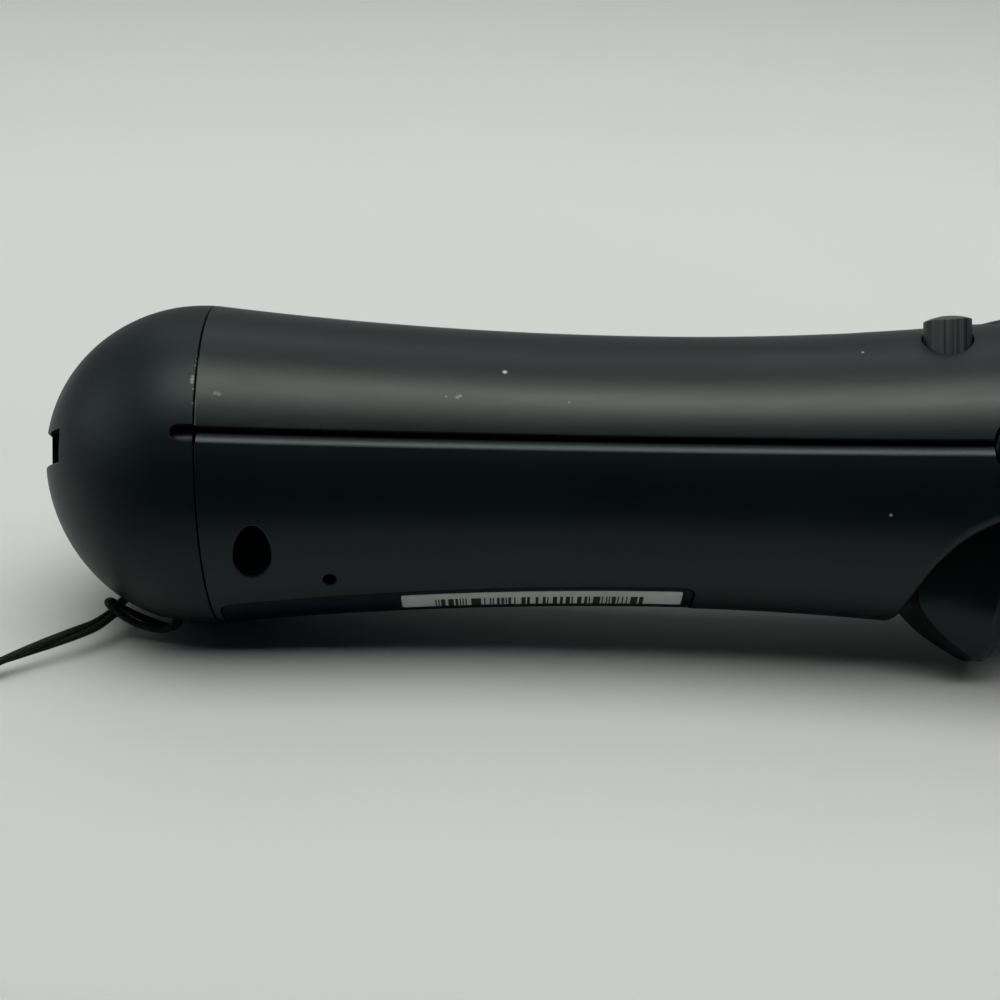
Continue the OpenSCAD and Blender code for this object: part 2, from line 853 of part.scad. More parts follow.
module end_cap() {
    color(black)
        lay()
            difference() {
                union() {
                    turned(1)
                        cap_outline();
                    intersection() {
                        cap_dome(-wall / 2);
                        union() {
                            translate([0, -dock_half - 1, parting_z - dock_h / 2 - 1])
                                cube([dock_back, 2 * dock_half + 2, dock_h + 2]);
                            for (s = [-1, 1])
                                translate([0, s * 7.4 - 0.8, -far])
                                    cube([port_x1, 1.6, far + port_z - board_t]);
                        }
                    }
                }
                translate([-eps, -dock_half, parting_z - dock_h / 2])
                    cube([dock_floor + eps, 2 * dock_half, dock_h]);
                for (y = [dock_island, -dock_half])
                    translate([-eps, y, parting_z - dock_h / 2])
                        cube([dock_deep + eps, dock_half - dock_island, dock_h]);
                translate([0, -usb_w / 2 - fit, port_z - fit])
                    cube([dock_back + eps, usb_w + 2 * fit, usb_h + 2 * fit]);
                for (s = [-1, 1])
                    translate([0, s * contact_y - contact_w / 2 - fit, port_z - fit])
                        cube([dock_back + eps, contact_w + 2 * fit, usb_h - 1 + 2 * fit]);
                translate([dock_back, -port_half - 1.4, port_z - board_t])
                    cube([cap_r, 2 * port_half + 2.8, board_t]);
                groove_end();
                for (a = [hole_near, hole_far])
                    translate([cap_r, 0, 0])
                        rotate([0, a, 0])
                            translate([0, 0, -cap_r - eps])
                                linear_extrude(wall + 3 * eps)
                                    rotate(90)
                                        stadium(hole_w, hole_len);
            }
}

module neck_collar() {
    color(dark)
        lay()
            turned()
                polygon([
                    [collar_bore_r, led_face_x],
                    [neck_r - wall - fit, led_face_x],
                    [neck_r - wall - fit, neck_x],
                    [neck_r, neck_x],
                    [mouth_r, ball_face_x],
                    [ball_mouth_in - fit, ball_face_x],
                    [ball_mouth_in - fit, ball_face_x + spigot_len],
                    [collar_bore_r, ball_face_x + spigot_len]]);
}

module light_ball() {
    color([0.93, 0.93, 0.9])
        lay()
            turned()
                intersection() {
                    difference() {
                        ball_outline(ball_x, ball_r);
                        ball_outline(ball_x, ball_inner_r);
                    }
                    translate([0, ball_face_x])
                        square([ball_r, 2 * ball_r]);
                }
}

module light_guide() {
    guide_r = collar_bore_r - fit;
    guide_x = ball_face_x + spigot_len;
    color([0.85, 0.87, 0.88])
        lay()
            turned()
                difference() {
                    union() {
                        translate([0, led_face_x])
                            square([guide_r, guide_x - led_face_x]);
                        ball_outline(guide_x, guide_r);
                    }
                    translate([0, led_face_x - eps])
                        square([led_pocket_r, led_pocket + eps]);
                }
}

module led_board() {
    color(board_green)
        lay()
            translate([led_face_x - board_t, 0, 0])
                rotate([0, 90, 0])
                    cylinder(r = led_board_r, h = board_t);
}

module led() {
    color([0.95, 0.95, 0.85])
        lay()
            translate([led_face_x, -2.5, -2.5])
                cube([1.6, 5, 5]);
}

// Flat cable of a side-view centre line with square bends
module flex(points, half, t) {
    color([0.75, 0.45, 0.15])
        lay()
            across(2 * half)
                polygon(concat(points, [for (i = [len(points) - 1:-1:0]) points[i] + [0, t]]));
}

module led_flex() {
    flex([
        [board_x1 - 6, board_top],
        [board_x1 + 1, board_top],
        [led_face_x - board_t - 1.4, board_top + 1.4],
        [led_face_x - board_t, board_top + 1.4]], 3, 0.3);
}

module port_flex() {
    flex([
        [port_x1 - 5, port_z],
        [port_x1 + 0.6, port_z],
        [cell_x0 - 1.4, board_top],
        [board_x0 + 5, board_top]], 4, 0.3);
}

module port_board() {
    color(board_green)
        lay()
            translate([dock_back, -port_half, port_z - board_t])
                cube([port_x1 - dock_back, 2 * port_half, board_t]);
}

module usb_socket() {
    metal_t = 0.4;
    color(metal)
        lay()
            difference() {
                translate([dock_floor, -usb_w / 2, port_z])
                    cube([usb_len, usb_w, usb_h]);
                difference() {
                    translate([dock_floor - eps, -usb_w / 2 + metal_t, port_z + metal_t])
                        cube([usb_len + eps - metal_t, usb_w - 2 * metal_t, usb_h - 2 * metal_t]);
                    translate([dock_floor + eps, -usb_w / 4, port_z + usb_h / 2 - 0.4])
                        cube([usb_len, usb_w / 2, 0.8]);
                }
            }
}

module charge_contacts() {
    color([0.8, 0.65, 0.3])
        lay()
            for (s = [-1, 1])
                translate([dock_deep, s * contact_y - contact_w / 2, port_z])
                    cube([wall + 1.7, contact_w, usb_h - 1]);
}

module main_board() {
    color(board_green)
        lay()
            difference() {
                translate([board_x0, -board_half, board_z])
                    cube([board_x1 - board_x0, 2 * board_half, board_t]);
                for (x = board_post_x, s = [-1, 1])
                    post([x, s * board_post_y], board_screw_r + fit, board_z - eps, far);
            }
}

module board_screws() {
    color(metal)
        lay()
            for (x = board_post_x, s = [-1, 1]) {
                post([x, s * board_post_y], board_screw_head, board_z - 1, board_z);
                post([x, s * board_post_y], board_screw_r, board_z - 0.5, board_top + 4);
            }
}

module shield_can() {
    color(metal)
        lay()
            translate([motor_x0 + 1, -shield_w / 2, board_z - can_h])
                cube([shield_len, shield_w, can_h]);
}

module radio_module() {
    color([0.5, 0.52, 0.5])
        lay()
            translate([cell_x1 - 10, -radio_w / 2, board_top])
                cube([radio_len, radio_w, can_h]);
}

module button_mat() {
    color([0.35, 0.36, 0.38])
        lay() {
            translate([home_x - 5, -board_half, board_top])
                cube([face_x1 - home_x + 9, 2 * board_half, mat_t]);
            for (i = [0:3])
                post([face_x[i], face_side[i] * shoulder_y], 2, board_top, mat_dome_top);
            post([home_x, 0], 2, board_top, mat_dome_top);
            post([main_x, 0], 3, board_top, mat_dome_top);
        }
}

module main_button() {
    flange_x = main_x - main_len / 2 - flange_over;
    flange_y = main_w / 2 + flange_over;
    flange_top = sqrt(pow(grip_radius(flange_x) - wall, 2) - pow(flange_y, 2)) - button_gap;
    color(black)
        lay() {
            intersection() {
                main_prism(0, stem_z, far);
                grip(main_proud);
            }
            main_prism(flange_over, flange_top - flange_t, flange_top);
        }
}

// One of the four face buttons, with its top tilted and slightly domed
module face_button(i) {
    at = [face_x[i], face_side[i] * face_y];
    color(black)
        lay() {
            intersection() {
                post(at, face_r, stem_z, far);
                translate([at.x, at.y, face_top])
                    rotate([-face_side[i] * face_tilt, 0, 0])
                        translate([0, 0, -face_dome])
                            union() {
                                sphere(r = face_dome);
                                translate([-face_dome, -face_dome, -far])
                                    cube([2 * face_dome, 2 * face_dome, far]);
                            }
            }
            post([at.x, face_side[i] * shoulder_y], shoulder_r, stem_z, shoulder_top);
        }
}

module face_button_1() {
    face_button(0);
}

module face_button_2() {
    face_button(1);
}

module face_button_3() {
    face_button(2);
}

module face_button_4() {
    face_button(3);
}

module home_button() {
    flange_r = home_r + flange_over;
    flange_top = sqrt(pow(grip_radius(home_x - flange_r) - wall, 2) - pow(flange_r, 2)) - button_gap;
    color(dark)
        lay() {
            intersection() {
                post([home_x, 0], home_r, stem_z, far);
                grip(-0.1);
            }
            post([home_x, 0], flange_r, flange_top - flange_t, flange_top);
        }
}

module side_button(side) {
    color(black)
        lay() {
            intersection() {
                side_prism(0, side_stem_y, far, side);
                grip(-side_sunk);
            }
            intersection() {
                side_prism(flange_over, side_stem_y, side_flange_y, side);
                grip(-wall - button_gap);
            }
        }
}

module left_side_button() {
    side_button(-1);
}

module right_side_button() {
    side_button(1);
}

module side_switches() {
    plunger = 0.6;
    body_y = side_stem_y - side_press - fit - plunger;
    color([0.2, 0.2, 0.22])
        lay()
            for (s = [-1, 1]) {
                translate([side_x - switch_len / 2, s > 0 ? body_y - 3 : -body_y, board_z - switch_h])
                    cube([switch_len, 3, switch_h]);
                translate([side_x, s * (body_y - eps), parting_z])
                    rotate([-90 * s, 0, 0])
                        cylinder(r = 1, h = plunger + eps);
            }
}

module status_lens() {
    color([0.5, 0.1, 0.1])
        lay()
            intersection() {
                post([lens_x, 0], lens_r, board_top, far);
                grip(-0.1);
            }
}

// Side view of the trigger: heel, hook, finger hollow and pivot boss
module trigger_outline() {
    finger_c = [tip_x + finger_r + 4.6, -pivot_z - finger_r - 1.4];
    tip = [tip_x, -tip_z];
    low = [tip_x + 2.4, -tip_z - 2];
    toe = [toe_x, -toe_z - 2];
    difference() {
        union() {
            intersection() {
                translate([pivot_x, -pivot_z])
                    circle(r = heel_r, $fn = 288);
                polygon([
                    [pivot_x - heel_r - eps, -trigger_top],
                    [pivot_x - boss_r - 2, -trigger_top],
                    [pivot_x, -pivot_z + boss_r],
                    [pivot_x, -pivot_z - boss_r],
                    [toe_x, -toe_z],
                    tip + [2.8, 0],
                    tip - [0.6, -0.2],
                    [tip_x - 3.4, -tip_z + 1.2],
                    [tip_x - 6.2, -tip_z + 2.9],
                    [pivot_x - heel_r - eps, -tip_z + 3.6]]);
            }
            translate([pivot_x, -pivot_z])
                circle(r = boss_r);
        }
        translate(finger_c)
            circle(r = finger_r);
        polygon([
            low,
            touch(low, finger_c, finger_r, 1),
            finger_c,
            touch(toe, finger_c, finger_r, -1),
            toe]);
    }
}

// Front view of the trigger, drawn in as it leaves the shell
module trigger_section() {
    wide = trigger_w / 2;
    narrow = tip_w / 2;
    half = [
        [wide, 0],
        [wide, -9.6],
        [wide - 3.4, -13],
        [narrow + 1.4, -tip_z + 4],
        [narrow, -tip_z + tip_corner],
        [3, -tip_z - eps]];
    polygon(concat(half, [for (i = [len(half) - 1:-1:0]) [-half[i].x, half[i].y]]));
}

// Plan of the trigger, rounded towards its heel
module trigger_plan() {
    wide = trigger_w / 2;
    half = [
        [pivot_x + far, wide],
        [mouth_x + 13, wide],
        [mouth_x + 8, 8.4],
        [mouth_x + 5, 6.8],
        [mouth_x + 2.8, 4.8],
        [mouth_x, 3]];
    polygon(concat(half, [for (i = [len(half) - 1:-1:0]) [half[i].x, -half[i].y]]));
}

module trigger() {
    color(black)
        lay()
            difference() {
                intersection() {
                    across(2 * trigger_w)
                        trigger_outline();
                    translate([mouth_x - 5, 0, 0])
                        rotate([90, 0, 90])
                            linear_extrude(pivot_x - mouth_x + 10)
                                trigger_section();
                    translate([0, 0, -far])
                        linear_extrude(2 * far)
                            trigger_plan();
                    union() {
                        grip(-wall - trigger_gap, side = 1);
                        across(2 * trigger_w)
                            mouth_outline(trigger_gap);
                    }
                }
                for (s = [-1, 1])
                    translate([pivot_x - boss_r - 1, s * (boss_half + far / 2) - far / 2, -far])
                        cube([far, far, far]);
                translate([pivot_x - boss_r - 1, -spring_half, -pivot_z - boss_r - eps])
                    cube([far, 2 * spring_half, far]);
                translate([pivot_x - spring_leg - 1, -spring_half, -pivot_z + spring_under])
                    cube([far, 2 * spring_half, far]);
                pivot_bar(pin_r + running_fit, far);
            }
}

module trigger_pin() {
    color(metal)
        lay()
            pivot_bar(pin_r, 2 * (lug_half + lug_t));
}

// Torsion spring round the pin, with one leg on the trigger and one on the shell
module trigger_spring() {
    rings = 16;
    half = spring_pitch * spring_turns / 2;
    coil = [for (i = [0:rings * spring_turns])
        let(a = 90 - 360 * i / rings)
        [pivot_x + spring_r * cos(a), -half + spring_pitch * i / rings, -pivot_z + spring_r * sin(a)]];
    last = coil[len(coil) - 1];
    path = concat(
        [coil[0] - [spring_leg, 0, 0], coil[0] - [2, 0, 0]],
        coil,
        [last + [2, 0, 0], last + [spring_leg, 0, 0]]);
    color(metal)
        lay()
            tube(path, spring_wire, 6, [0, 1, 0]);
}

module trigger_sensor() {
    color([0.3, 0.3, 0.32])
        lay()
            translate([main_x - 3, -3, board_z - 2.4])
                cube([6, 6, 2.4]);
}

module battery() {
    color([0.25, 0.4, 0.6])
        lay()
            translate([cell_x0, 0, -cell_z])
                rotate([0, 90, 0])
                    cylinder(r = cell_r, h = cell_len);
}

module battery_pad() {
    color([0.3, 0.3, 0.3])
        lay()
            translate([cradle_at[0] + 6, -pad_w / 2, cell_r - cell_z + running_fit])
                cube([pad_len, pad_w, board_z - cell_r + cell_z - running_fit]);
}

module battery_plug() {
    color([0.85, 0.85, 0.8])
        lay()
            translate([cell_x1 + 2, -3, board_z - 3])
                cube([3, 6, 3]);
}

module battery_lead() {
    color([0.7, 0.1, 0.1])
        for (s = [-1, 1])
            tube([for (p = [
                [cell_x1, s * 1.4, -cell_z + 3],
                [cell_x1 + 1.2, s * 1.4, -cell_z + 3],
                [cell_x1 + 2.8, s * 1.4, -cell_z + 3.7],
                [cell_x1 + 3.5, s * 1.4, -cell_z + 5],
                [cell_x1 + 3.5, s * 1.4, board_z - 3]]) laid(p)], 1, 8, [0, 1, 0]);
}

module vibration_motor() {
    color(metal)
        lay()
            translate([motor_x0, 0, -motor_z])
                rotate([0, 90, 0])
                    difference() {
                        cylinder(r = motor_r, h = motor_len);
                        translate([0, 0, motor_len - shaft_in])
                            cylinder(r = shaft_r + running_fit, h = shaft_in + eps);
                    }
}

module motor_shaft() {
    color([0.8, 0.8, 0.82])
        lay()
            translate([motor_x1 - shaft_in + fit, 0, -motor_z])
                rotate([0, 90, 0])
                    cylinder(r = shaft_r, h = weight_x1 - motor_x1 + shaft_in - fit);
}

module motor_weight() {
    color([0.55, 0.55, 0.58])
        lay()
            translate([weight_x0, 0, -motor_z])
                rotate([0, 90, 0])
                    difference() {
                        union() {
                            cylinder(r = 1.8, h = weight_len);
                            intersection() {
                                cylinder(r = motor_r - 0.4, h = weight_len);
                                translate([0, -far, -eps])
                                    cube([far, 2 * far, weight_len + 2 * eps]);
                            }
                        }
                        translate([0, 0, -eps])
                            cylinder(r = shaft_r, h = weight_len + 2 * eps);
                    }
}

module case_screws() {
    color(metal)
        lay()
            for (p = screw_at) {
                difference() {
                    post(p, screw_head_r, -well_floor - screw_head_h, -well_floor);
                    for (a = [0, 90])
                        translate([p.x, p.y, -well_floor - screw_head_h])
                            rotate(a)
                                cube([2.2, 0.5, 1.4], center = true);
                }
                post(p, screw_r, -well_floor - 0.5, parting_z + screw_len - 1);
            }
}

module reset_plunger() {
    color(black)
        lay() {
            post([reset_x, -reset_y], reset_r - running_fit, -reset_tip, reset_top);
            post([reset_x, -reset_y], reset_r + 0.6, -reset_guide_top + fit, -reset_guide_top + 1);
        }
}

module reset_switch() {
    color([0.2, 0.2, 0.22])
        lay()
            translate([reset_x - 1.5, -reset_y - 0.2, board_z - reset_switch_h])
                cube([3, 3.2, reset_switch_h]);
}

module strap_hitch() {
    color([0.05, 0.05, 0.05])
        tube(hitch_path, strand_d, 8);
}

module strap_cord() {
    color([0.05, 0.05, 0.05])
        tube(strap_route, strap_d, 8);
}

module strap_coil() {
    color([0.05, 0.05, 0.05])
        tube(coil_path, strap_d, 6);
}

module strap_end() {
    tail = coil_path[len(coil_path) - 1];
    color(black)
        translate(tail)
            rotate([0, 90, coil_turned + tuck_turn + 90])
                cylinder(r = min(end_r, tail.z), h = end_len);
}

module coil_tie() {
    high = coil_centre.z + strap_d / 2 + fit;
    color([0.2, 0.2, 0.2])
        translate([coil_centre.x, coil_centre.y, 0])
            rotate(tie_a)
                difference() {
                    translate([coil_in_r - strap_d, -tie_w / 2, 0])
                        cube([coil_out_r - coil_in_r + 2 * strap_d, tie_w, high + tie_t]);
                    translate([coil_in_r - strap_d + tie_t, -tie_w, tie_t])
                        cube([coil_out_r - coil_in_r + 2 * strap_d - 2 * tie_t, 2 * tie_w, high - tie_t]);
                }
}

front_shell();
back_shell();
end_cap();
neck_collar();
light_ball();
light_guide();
led_board();
led();
led_flex();
main_board();
board_screws();
shield_can();
radio_module();
button_mat();
main_button();
face_button_1();
face_button_2();
face_button_3();
face_button_4();
home_button();
left_side_button();
right_side_button();
side_switches();
status_lens();
trigger();
trigger_pin();
trigger_spring();
trigger_sensor();
battery();
battery_lead();
battery_plug();
battery_pad();
vibration_motor();
motor_shaft();
motor_weight();
usb_socket();
charge_contacts();
port_board();
port_flex();
case_screws();
reset_plunger();
reset_switch();
label_strip();
bar_sticker();
strap_hitch();
strap_cord();
strap_coil();
strap_end();
coil_tie();
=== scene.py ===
import json
from math import acos, asin, atan2, cos, pi, radians, sin, sqrt

import bmesh
import bpy
import numpy as np
from mathutils import Matrix, Vector
from mathutils.geometry import delaunay_2d_cdt


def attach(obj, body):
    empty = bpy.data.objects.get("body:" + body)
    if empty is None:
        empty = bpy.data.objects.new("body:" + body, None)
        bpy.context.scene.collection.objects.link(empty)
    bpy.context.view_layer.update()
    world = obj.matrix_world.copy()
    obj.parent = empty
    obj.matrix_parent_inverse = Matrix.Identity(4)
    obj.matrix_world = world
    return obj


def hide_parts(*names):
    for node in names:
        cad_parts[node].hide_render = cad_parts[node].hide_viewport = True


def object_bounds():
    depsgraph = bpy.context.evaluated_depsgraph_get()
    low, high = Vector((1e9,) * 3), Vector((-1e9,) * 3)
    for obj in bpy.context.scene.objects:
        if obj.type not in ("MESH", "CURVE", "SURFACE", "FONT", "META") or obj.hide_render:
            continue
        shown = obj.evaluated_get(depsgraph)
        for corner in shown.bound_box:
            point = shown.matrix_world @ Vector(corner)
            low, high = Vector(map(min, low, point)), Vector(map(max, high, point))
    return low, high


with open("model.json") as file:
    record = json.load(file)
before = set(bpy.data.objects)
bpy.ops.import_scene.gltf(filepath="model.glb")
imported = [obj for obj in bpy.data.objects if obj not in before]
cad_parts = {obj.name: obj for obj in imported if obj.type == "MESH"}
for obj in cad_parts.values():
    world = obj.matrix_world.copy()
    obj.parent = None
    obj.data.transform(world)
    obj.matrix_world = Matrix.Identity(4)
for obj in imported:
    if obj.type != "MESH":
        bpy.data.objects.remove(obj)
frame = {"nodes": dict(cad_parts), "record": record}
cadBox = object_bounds()
print("frame loaded,", len(frame["nodes"]), "nodes")

# camera, where the photographer stood
view = {
    "place": (-0.044579, -0.198066, 0.106473),  # metres
    "down": 24.513, "roll": 2.12,  # degrees
    "lens": 63.65, "sensor": 36, "clip": 0.01,
}


def setCamera():
    down, roll = radians(view["down"]), radians(view["roll"])
    forward = Vector((0, cos(down), -sin(down)))
    level, upright = Vector((1, 0, 0)), Vector((0, sin(down), cos(down)))
    right = level * cos(roll) + upright * sin(roll)
    up = upright * cos(roll) - level * sin(roll)
    lens = bpy.data.cameras.new("camera")
    lens.lens, lens.sensor_width, lens.clip_start = view["lens"], view["sensor"], view["clip"]
    camera = bpy.data.objects.new("camera", lens)
    turned = Matrix((right, up, -forward)).transposed().to_4x4()
    camera.matrix_world = Matrix.Translation(view["place"]) @ turned
    bpy.context.collection.objects.link(camera)
    bpy.context.scene.camera = camera


setCamera()
print("camera set")

# the grip's own sizes, millimetres along the wand from the tip of its end cap
grip = {
    "capR": 19.4, "skirt": 1.2, "waistR": 16.5, "waistRun": 53.4,
    "bulgeR": 19.8, "bulgeRun": 56.0, "hollow": 0.75, "neckR": 17.0, "neckRun": 26.0,
    "parting": 1.6, "grooveStep": 1.0, "grooveDeep": 1.0, "grooveTail": 2.4,
    "ballR": 23.0, "ballMouth": 14.5, "collar": 3.2,
    "seamLean": 0.037, "seamReach": 6.0,
    "domeSink": 0.7, "domeSinkWay": 60.0, "sinkFall": 4,  # where the dome is flatter, degrees from the back
    "tipZ": 22.35, "tipCorner": 1.1, "tipW": 12.0, "tipX": 111.8, "floorGap": 0.05,  # the trigger's tip
    "slopeStep": 0.02,
}
mm, metre = 0.001, 1000.0  # a millimetre in metres, a metre in millimetres


def arcRadius(run, rise):
    return (run * run + rise * rise) / (2 * rise)


seamX = grip["capR"] + grip["skirt"]
waistX = seamX + grip["waistRun"]
bulgeX = waistX + grip["bulgeRun"]
neckX = bulgeX + grip["neckRun"]
rearArc = arcRadius(grip["waistRun"], grip["capR"] - grip["waistR"])
swellArcs = arcRadius(grip["bulgeRun"], grip["bulgeR"] - grip["waistR"])
hollowArc = grip["hollow"] * swellArcs
crownArc = swellArcs - hollowArc
neckArc = arcRadius(grip["neckRun"], grip["bulgeR"] - grip["neckR"])
crownX = bulgeX - grip["bulgeRun"] * (1 - grip["hollow"])
ballFaceX = neckX + grip["collar"]
ballX = ballFaceX + sqrt(grip["ballR"] ** 2 - grip["ballMouth"] ** 2)


def layWand():  # how the wand lies on its cap, ball and trigger
    pitch = asin((grip["ballR"] - grip["capR"]) / (ballX - grip["capR"]))
    deep, half = grip["tipZ"] - grip["tipCorner"], grip["tipW"] / 2
    over = grip["capR"] + (grip["tipX"] - grip["capR"]) * sin(pitch) - grip["floorGap"]
    roll = atan2(half, deep) + acos(min(1, over / sqrt(deep ** 2 + half ** 2)))
    cp, sp, cr, sr = cos(pitch), sin(pitch), cos(roll), sin(roll)
    turn = np.array([[cp, 0, -sp], [0, 1, 0], [sp, 0, cp]]) @ np.array([[1, 0, 0], [0, cr, sr], [0, -sr, cr]])
    shiftX = -((grip["capR"] + ballX) * cp + grip["ballR"] - grip["capR"]) / 2
    return turn, np.array([shiftX, 0, grip["capR"] - grip["capR"] * sp])


wandTurn, wandShift = layWand()


def toRow(points):  # wand millimetres to metres on the table
    return (np.asarray(points, float) @ wandTurn.T + wandShift) * mm


def unit(v):
    return v / np.linalg.norm(v, axis=-1, keepdims=True)


def bend(a, b, c, k):  # share k of the way on a smooth bend from a, round b, to c
    return (1 - k) ** 2 * a + 2 * k * (1 - k) * b + k ** 2 * c


def gripRadius(x):
    x = np.asarray(x, float)
    rear = grip["waistR"] + rearArc - np.sqrt(np.maximum(rearArc ** 2 - (waistX - x) ** 2, 0))
    hollow = grip["waistR"] + hollowArc - np.sqrt(np.maximum(hollowArc ** 2 - (x - waistX) ** 2, 0))
    crown = grip["bulgeR"] - crownArc + np.sqrt(np.maximum(crownArc ** 2 - (bulgeX - x) ** 2, 0))
    neck = grip["bulgeR"] - neckArc + np.sqrt(np.maximum(neckArc ** 2 - (x - bulgeX) ** 2, 0))
    return np.where(x < waistX, rear, np.where(x < crownX, hollow, np.where(x < bulgeX, crown, neck)))


def onGrip(x, angle, side, sink=0.0):  # side 1 is the front, -1 the back; angle from its middle line
    r = gripRadius(x) - sink
    return np.stack([x, r * np.sin(angle), side * r * np.cos(angle)], -1)


def gripNormal(x, angle, side):
    step = grip["slopeStep"]
    slope = (gripRadius(x + step) - gripRadius(x - step)) / (2 * step)
    return unit(np.stack([-slope, np.sin(angle), side * np.cos(angle)], -1))


def leanSeam(points):  # the seam runs a little further along the wand towards the back
    share = np.maximum(1 - np.abs(points[:, 0] - seamX) / grip["seamReach"], 0) ** 2
    lean = grip["seamLean"] * (grip["capR"] - points[:, 2]) * share
    return points + np.stack([lean, 0 * lean, 0 * lean], 1)


capCentre = np.array([grip["capR"], 0, 0])
sinkWay = np.array([-sin(radians(grip["domeSinkWay"])), 0, -cos(radians(grip["domeSinkWay"]))])


def sinkDome(points):  # the cap's dome is a little flatter towards the strap
    away = np.asarray(points, float) - capCentre
    reach = np.linalg.norm(away, axis=1, keepdims=True)
    share = np.maximum(away @ sinkWay[:, None] / reach, 0) ** grip["sinkFall"]
    return capCentre + away * (1 - grip["domeSink"] * share / reach)


# materials
def startMaterial(name, gloss=0.5, **shaderSet):
    material = bpy.data.materials.new(name)
    material.use_nodes = True
    tree = material.node_tree
    shader = tree.nodes["Principled BSDF"]
    for key, value in {"Specular IOR Level": gloss, **shaderSet}.items():
        shader.inputs[key].default_value = value
    return material, tree, shader


def addNode(tree, kind, inputs=None, **settings):
    node = tree.nodes.new("ShaderNode" + kind)
    for key, value in settings.items():
        setattr(node, key, value)
    for key, value in (inputs or {}).items():
        if isinstance(value, bpy.types.NodeSocket):
            tree.links.new(value, node.inputs[key])
        else:
            node.inputs[key].default_value = value
    return node


def objectPlace(tree):
    return addNode(tree, "TexCoord").outputs["Object"]


def calc(tree, operation, a, b=0.0):
    return addNode(tree, "Math", {0: a, 1: b}, operation=operation).outputs[0]


def product(tree, value, *others):
    for other in others:
        value = calc(tree, "MULTIPLY", value, other)
    return value


def within(tree, value, low, high):
    return product(tree, calc(tree, "GREATER_THAN", value, low), calc(tree, "LESS_THAN", value, high))


def vectorCalc(tree, operation, a, b):
    return addNode(tree, "VectorMath", {0: a, 1: tuple(b)}, operation=operation).outputs["Value"]


def wandPlace(tree, axis):  # millimetres along one of the wand's own axes
    way = wandTurn[:, axis]
    reach = vectorCalc(tree, "DOT_PRODUCT", objectPlace(tree), way * metre)
    return calc(tree, "SUBTRACT", reach, float(way @ wandShift))


def cloud(tree, place, size, detail=3.0, rough=0.55):
    return addNode(tree, "TexNoise", {"Vector": place, "Scale": 1 / size, "Detail": detail,
                                      "Roughness": rough}).outputs["Fac"]


def spread(tree, value, low, high, fromLow=0.3, fromHigh=0.7):
    return addNode(tree, "MapRange", {"Value": value, "From Min": fromLow, "From Max": fromHigh,
                                      "To Min": low, "To Max": high}).outputs["Result"]


def between(tree, share, a, b):
    a, b = (t if isinstance(t, bpy.types.NodeSocket) else (*t, 1.0) for t in (a, b))
    return addNode(tree, "Mix", {0: share, 6: a, 7: b}, data_type="RGBA").outputs[2]


def clouded(tree, place, size, low, high):  # patches of two near tones
    return between(tree, spread(tree, cloud(tree, place, size), 0.0, 1.0), low, high)


def specks(tree, place, size, radius, share):  # sparse round dots, one try per cell
    cell = addNode(tree, "TexVoronoi", {"Vector": place, "Scale": 1 / size, "Randomness": 1.0})
    small = calc(tree, "LESS_THAN", cell.outputs["Distance"], radius / size)
    parts = addNode(tree, "SeparateColor", {0: cell.outputs["Color"]})
    return product(tree, small, calc(tree, "GREATER_THAN", parts.outputs[0], 1 - share))


def feed(tree, source, shader, socket):
    tree.links.new(source, shader.inputs[socket])


def feedBump(tree, shader, height, strength, distance):
    bump = addNode(tree, "Bump", {"Height": height, "Strength": strength, "Distance": distance})
    feed(tree, bump.outputs[0], shader, "Normal")


def fineFinish(name, tones, rough, sizes, bump, over=None, **shaderSet):
    material, tree, shader = startMaterial(name, **shaderSet)
    place, (patchSize, rubSize, grain), (detail, relief, deep) = objectPlace(tree), sizes, bump
    tone = clouded(tree, place, patchSize, *tones)
    feed(tree, over(tree, tone) if over else tone, shader, "Base Color")  # what is printed over the tone
    feed(tree, spread(tree, cloud(tree, place, rubSize, detail=4.0), *rough), shader, "Roughness")
    feedBump(tree, shader, cloud(tree, place, grain, detail), relief, deep)
    return material


plainGrain = {"patch": 4, "rub": 2, "detail": 3.0, "relief": 0.12, "deep": 0.1}  # sizes as shares of the grain


def plainFinish(name, low, high, smooth, rough, grain=0.0008, **shaderSet):
    g = plainGrain
    return fineFinish(name, (low, high), (smooth, rough), (grain * g["patch"], grain * g["rub"], grain),
                      (g["detail"], g["relief"], grain * g["deep"]), **shaderSet)


def spots(tree, place, marks, core=0.4):  # soft pale specks, each fading out from its core
    share = 0.0
    for x, y, z, size, strength in marks:
        far = vectorCalc(tree, "DISTANCE", place, toRow((x, y, z)))
        share = calc(tree, "MAXIMUM", share, spread(tree, far, strength, 0.0, size * core * mm, size * mm))
    return share


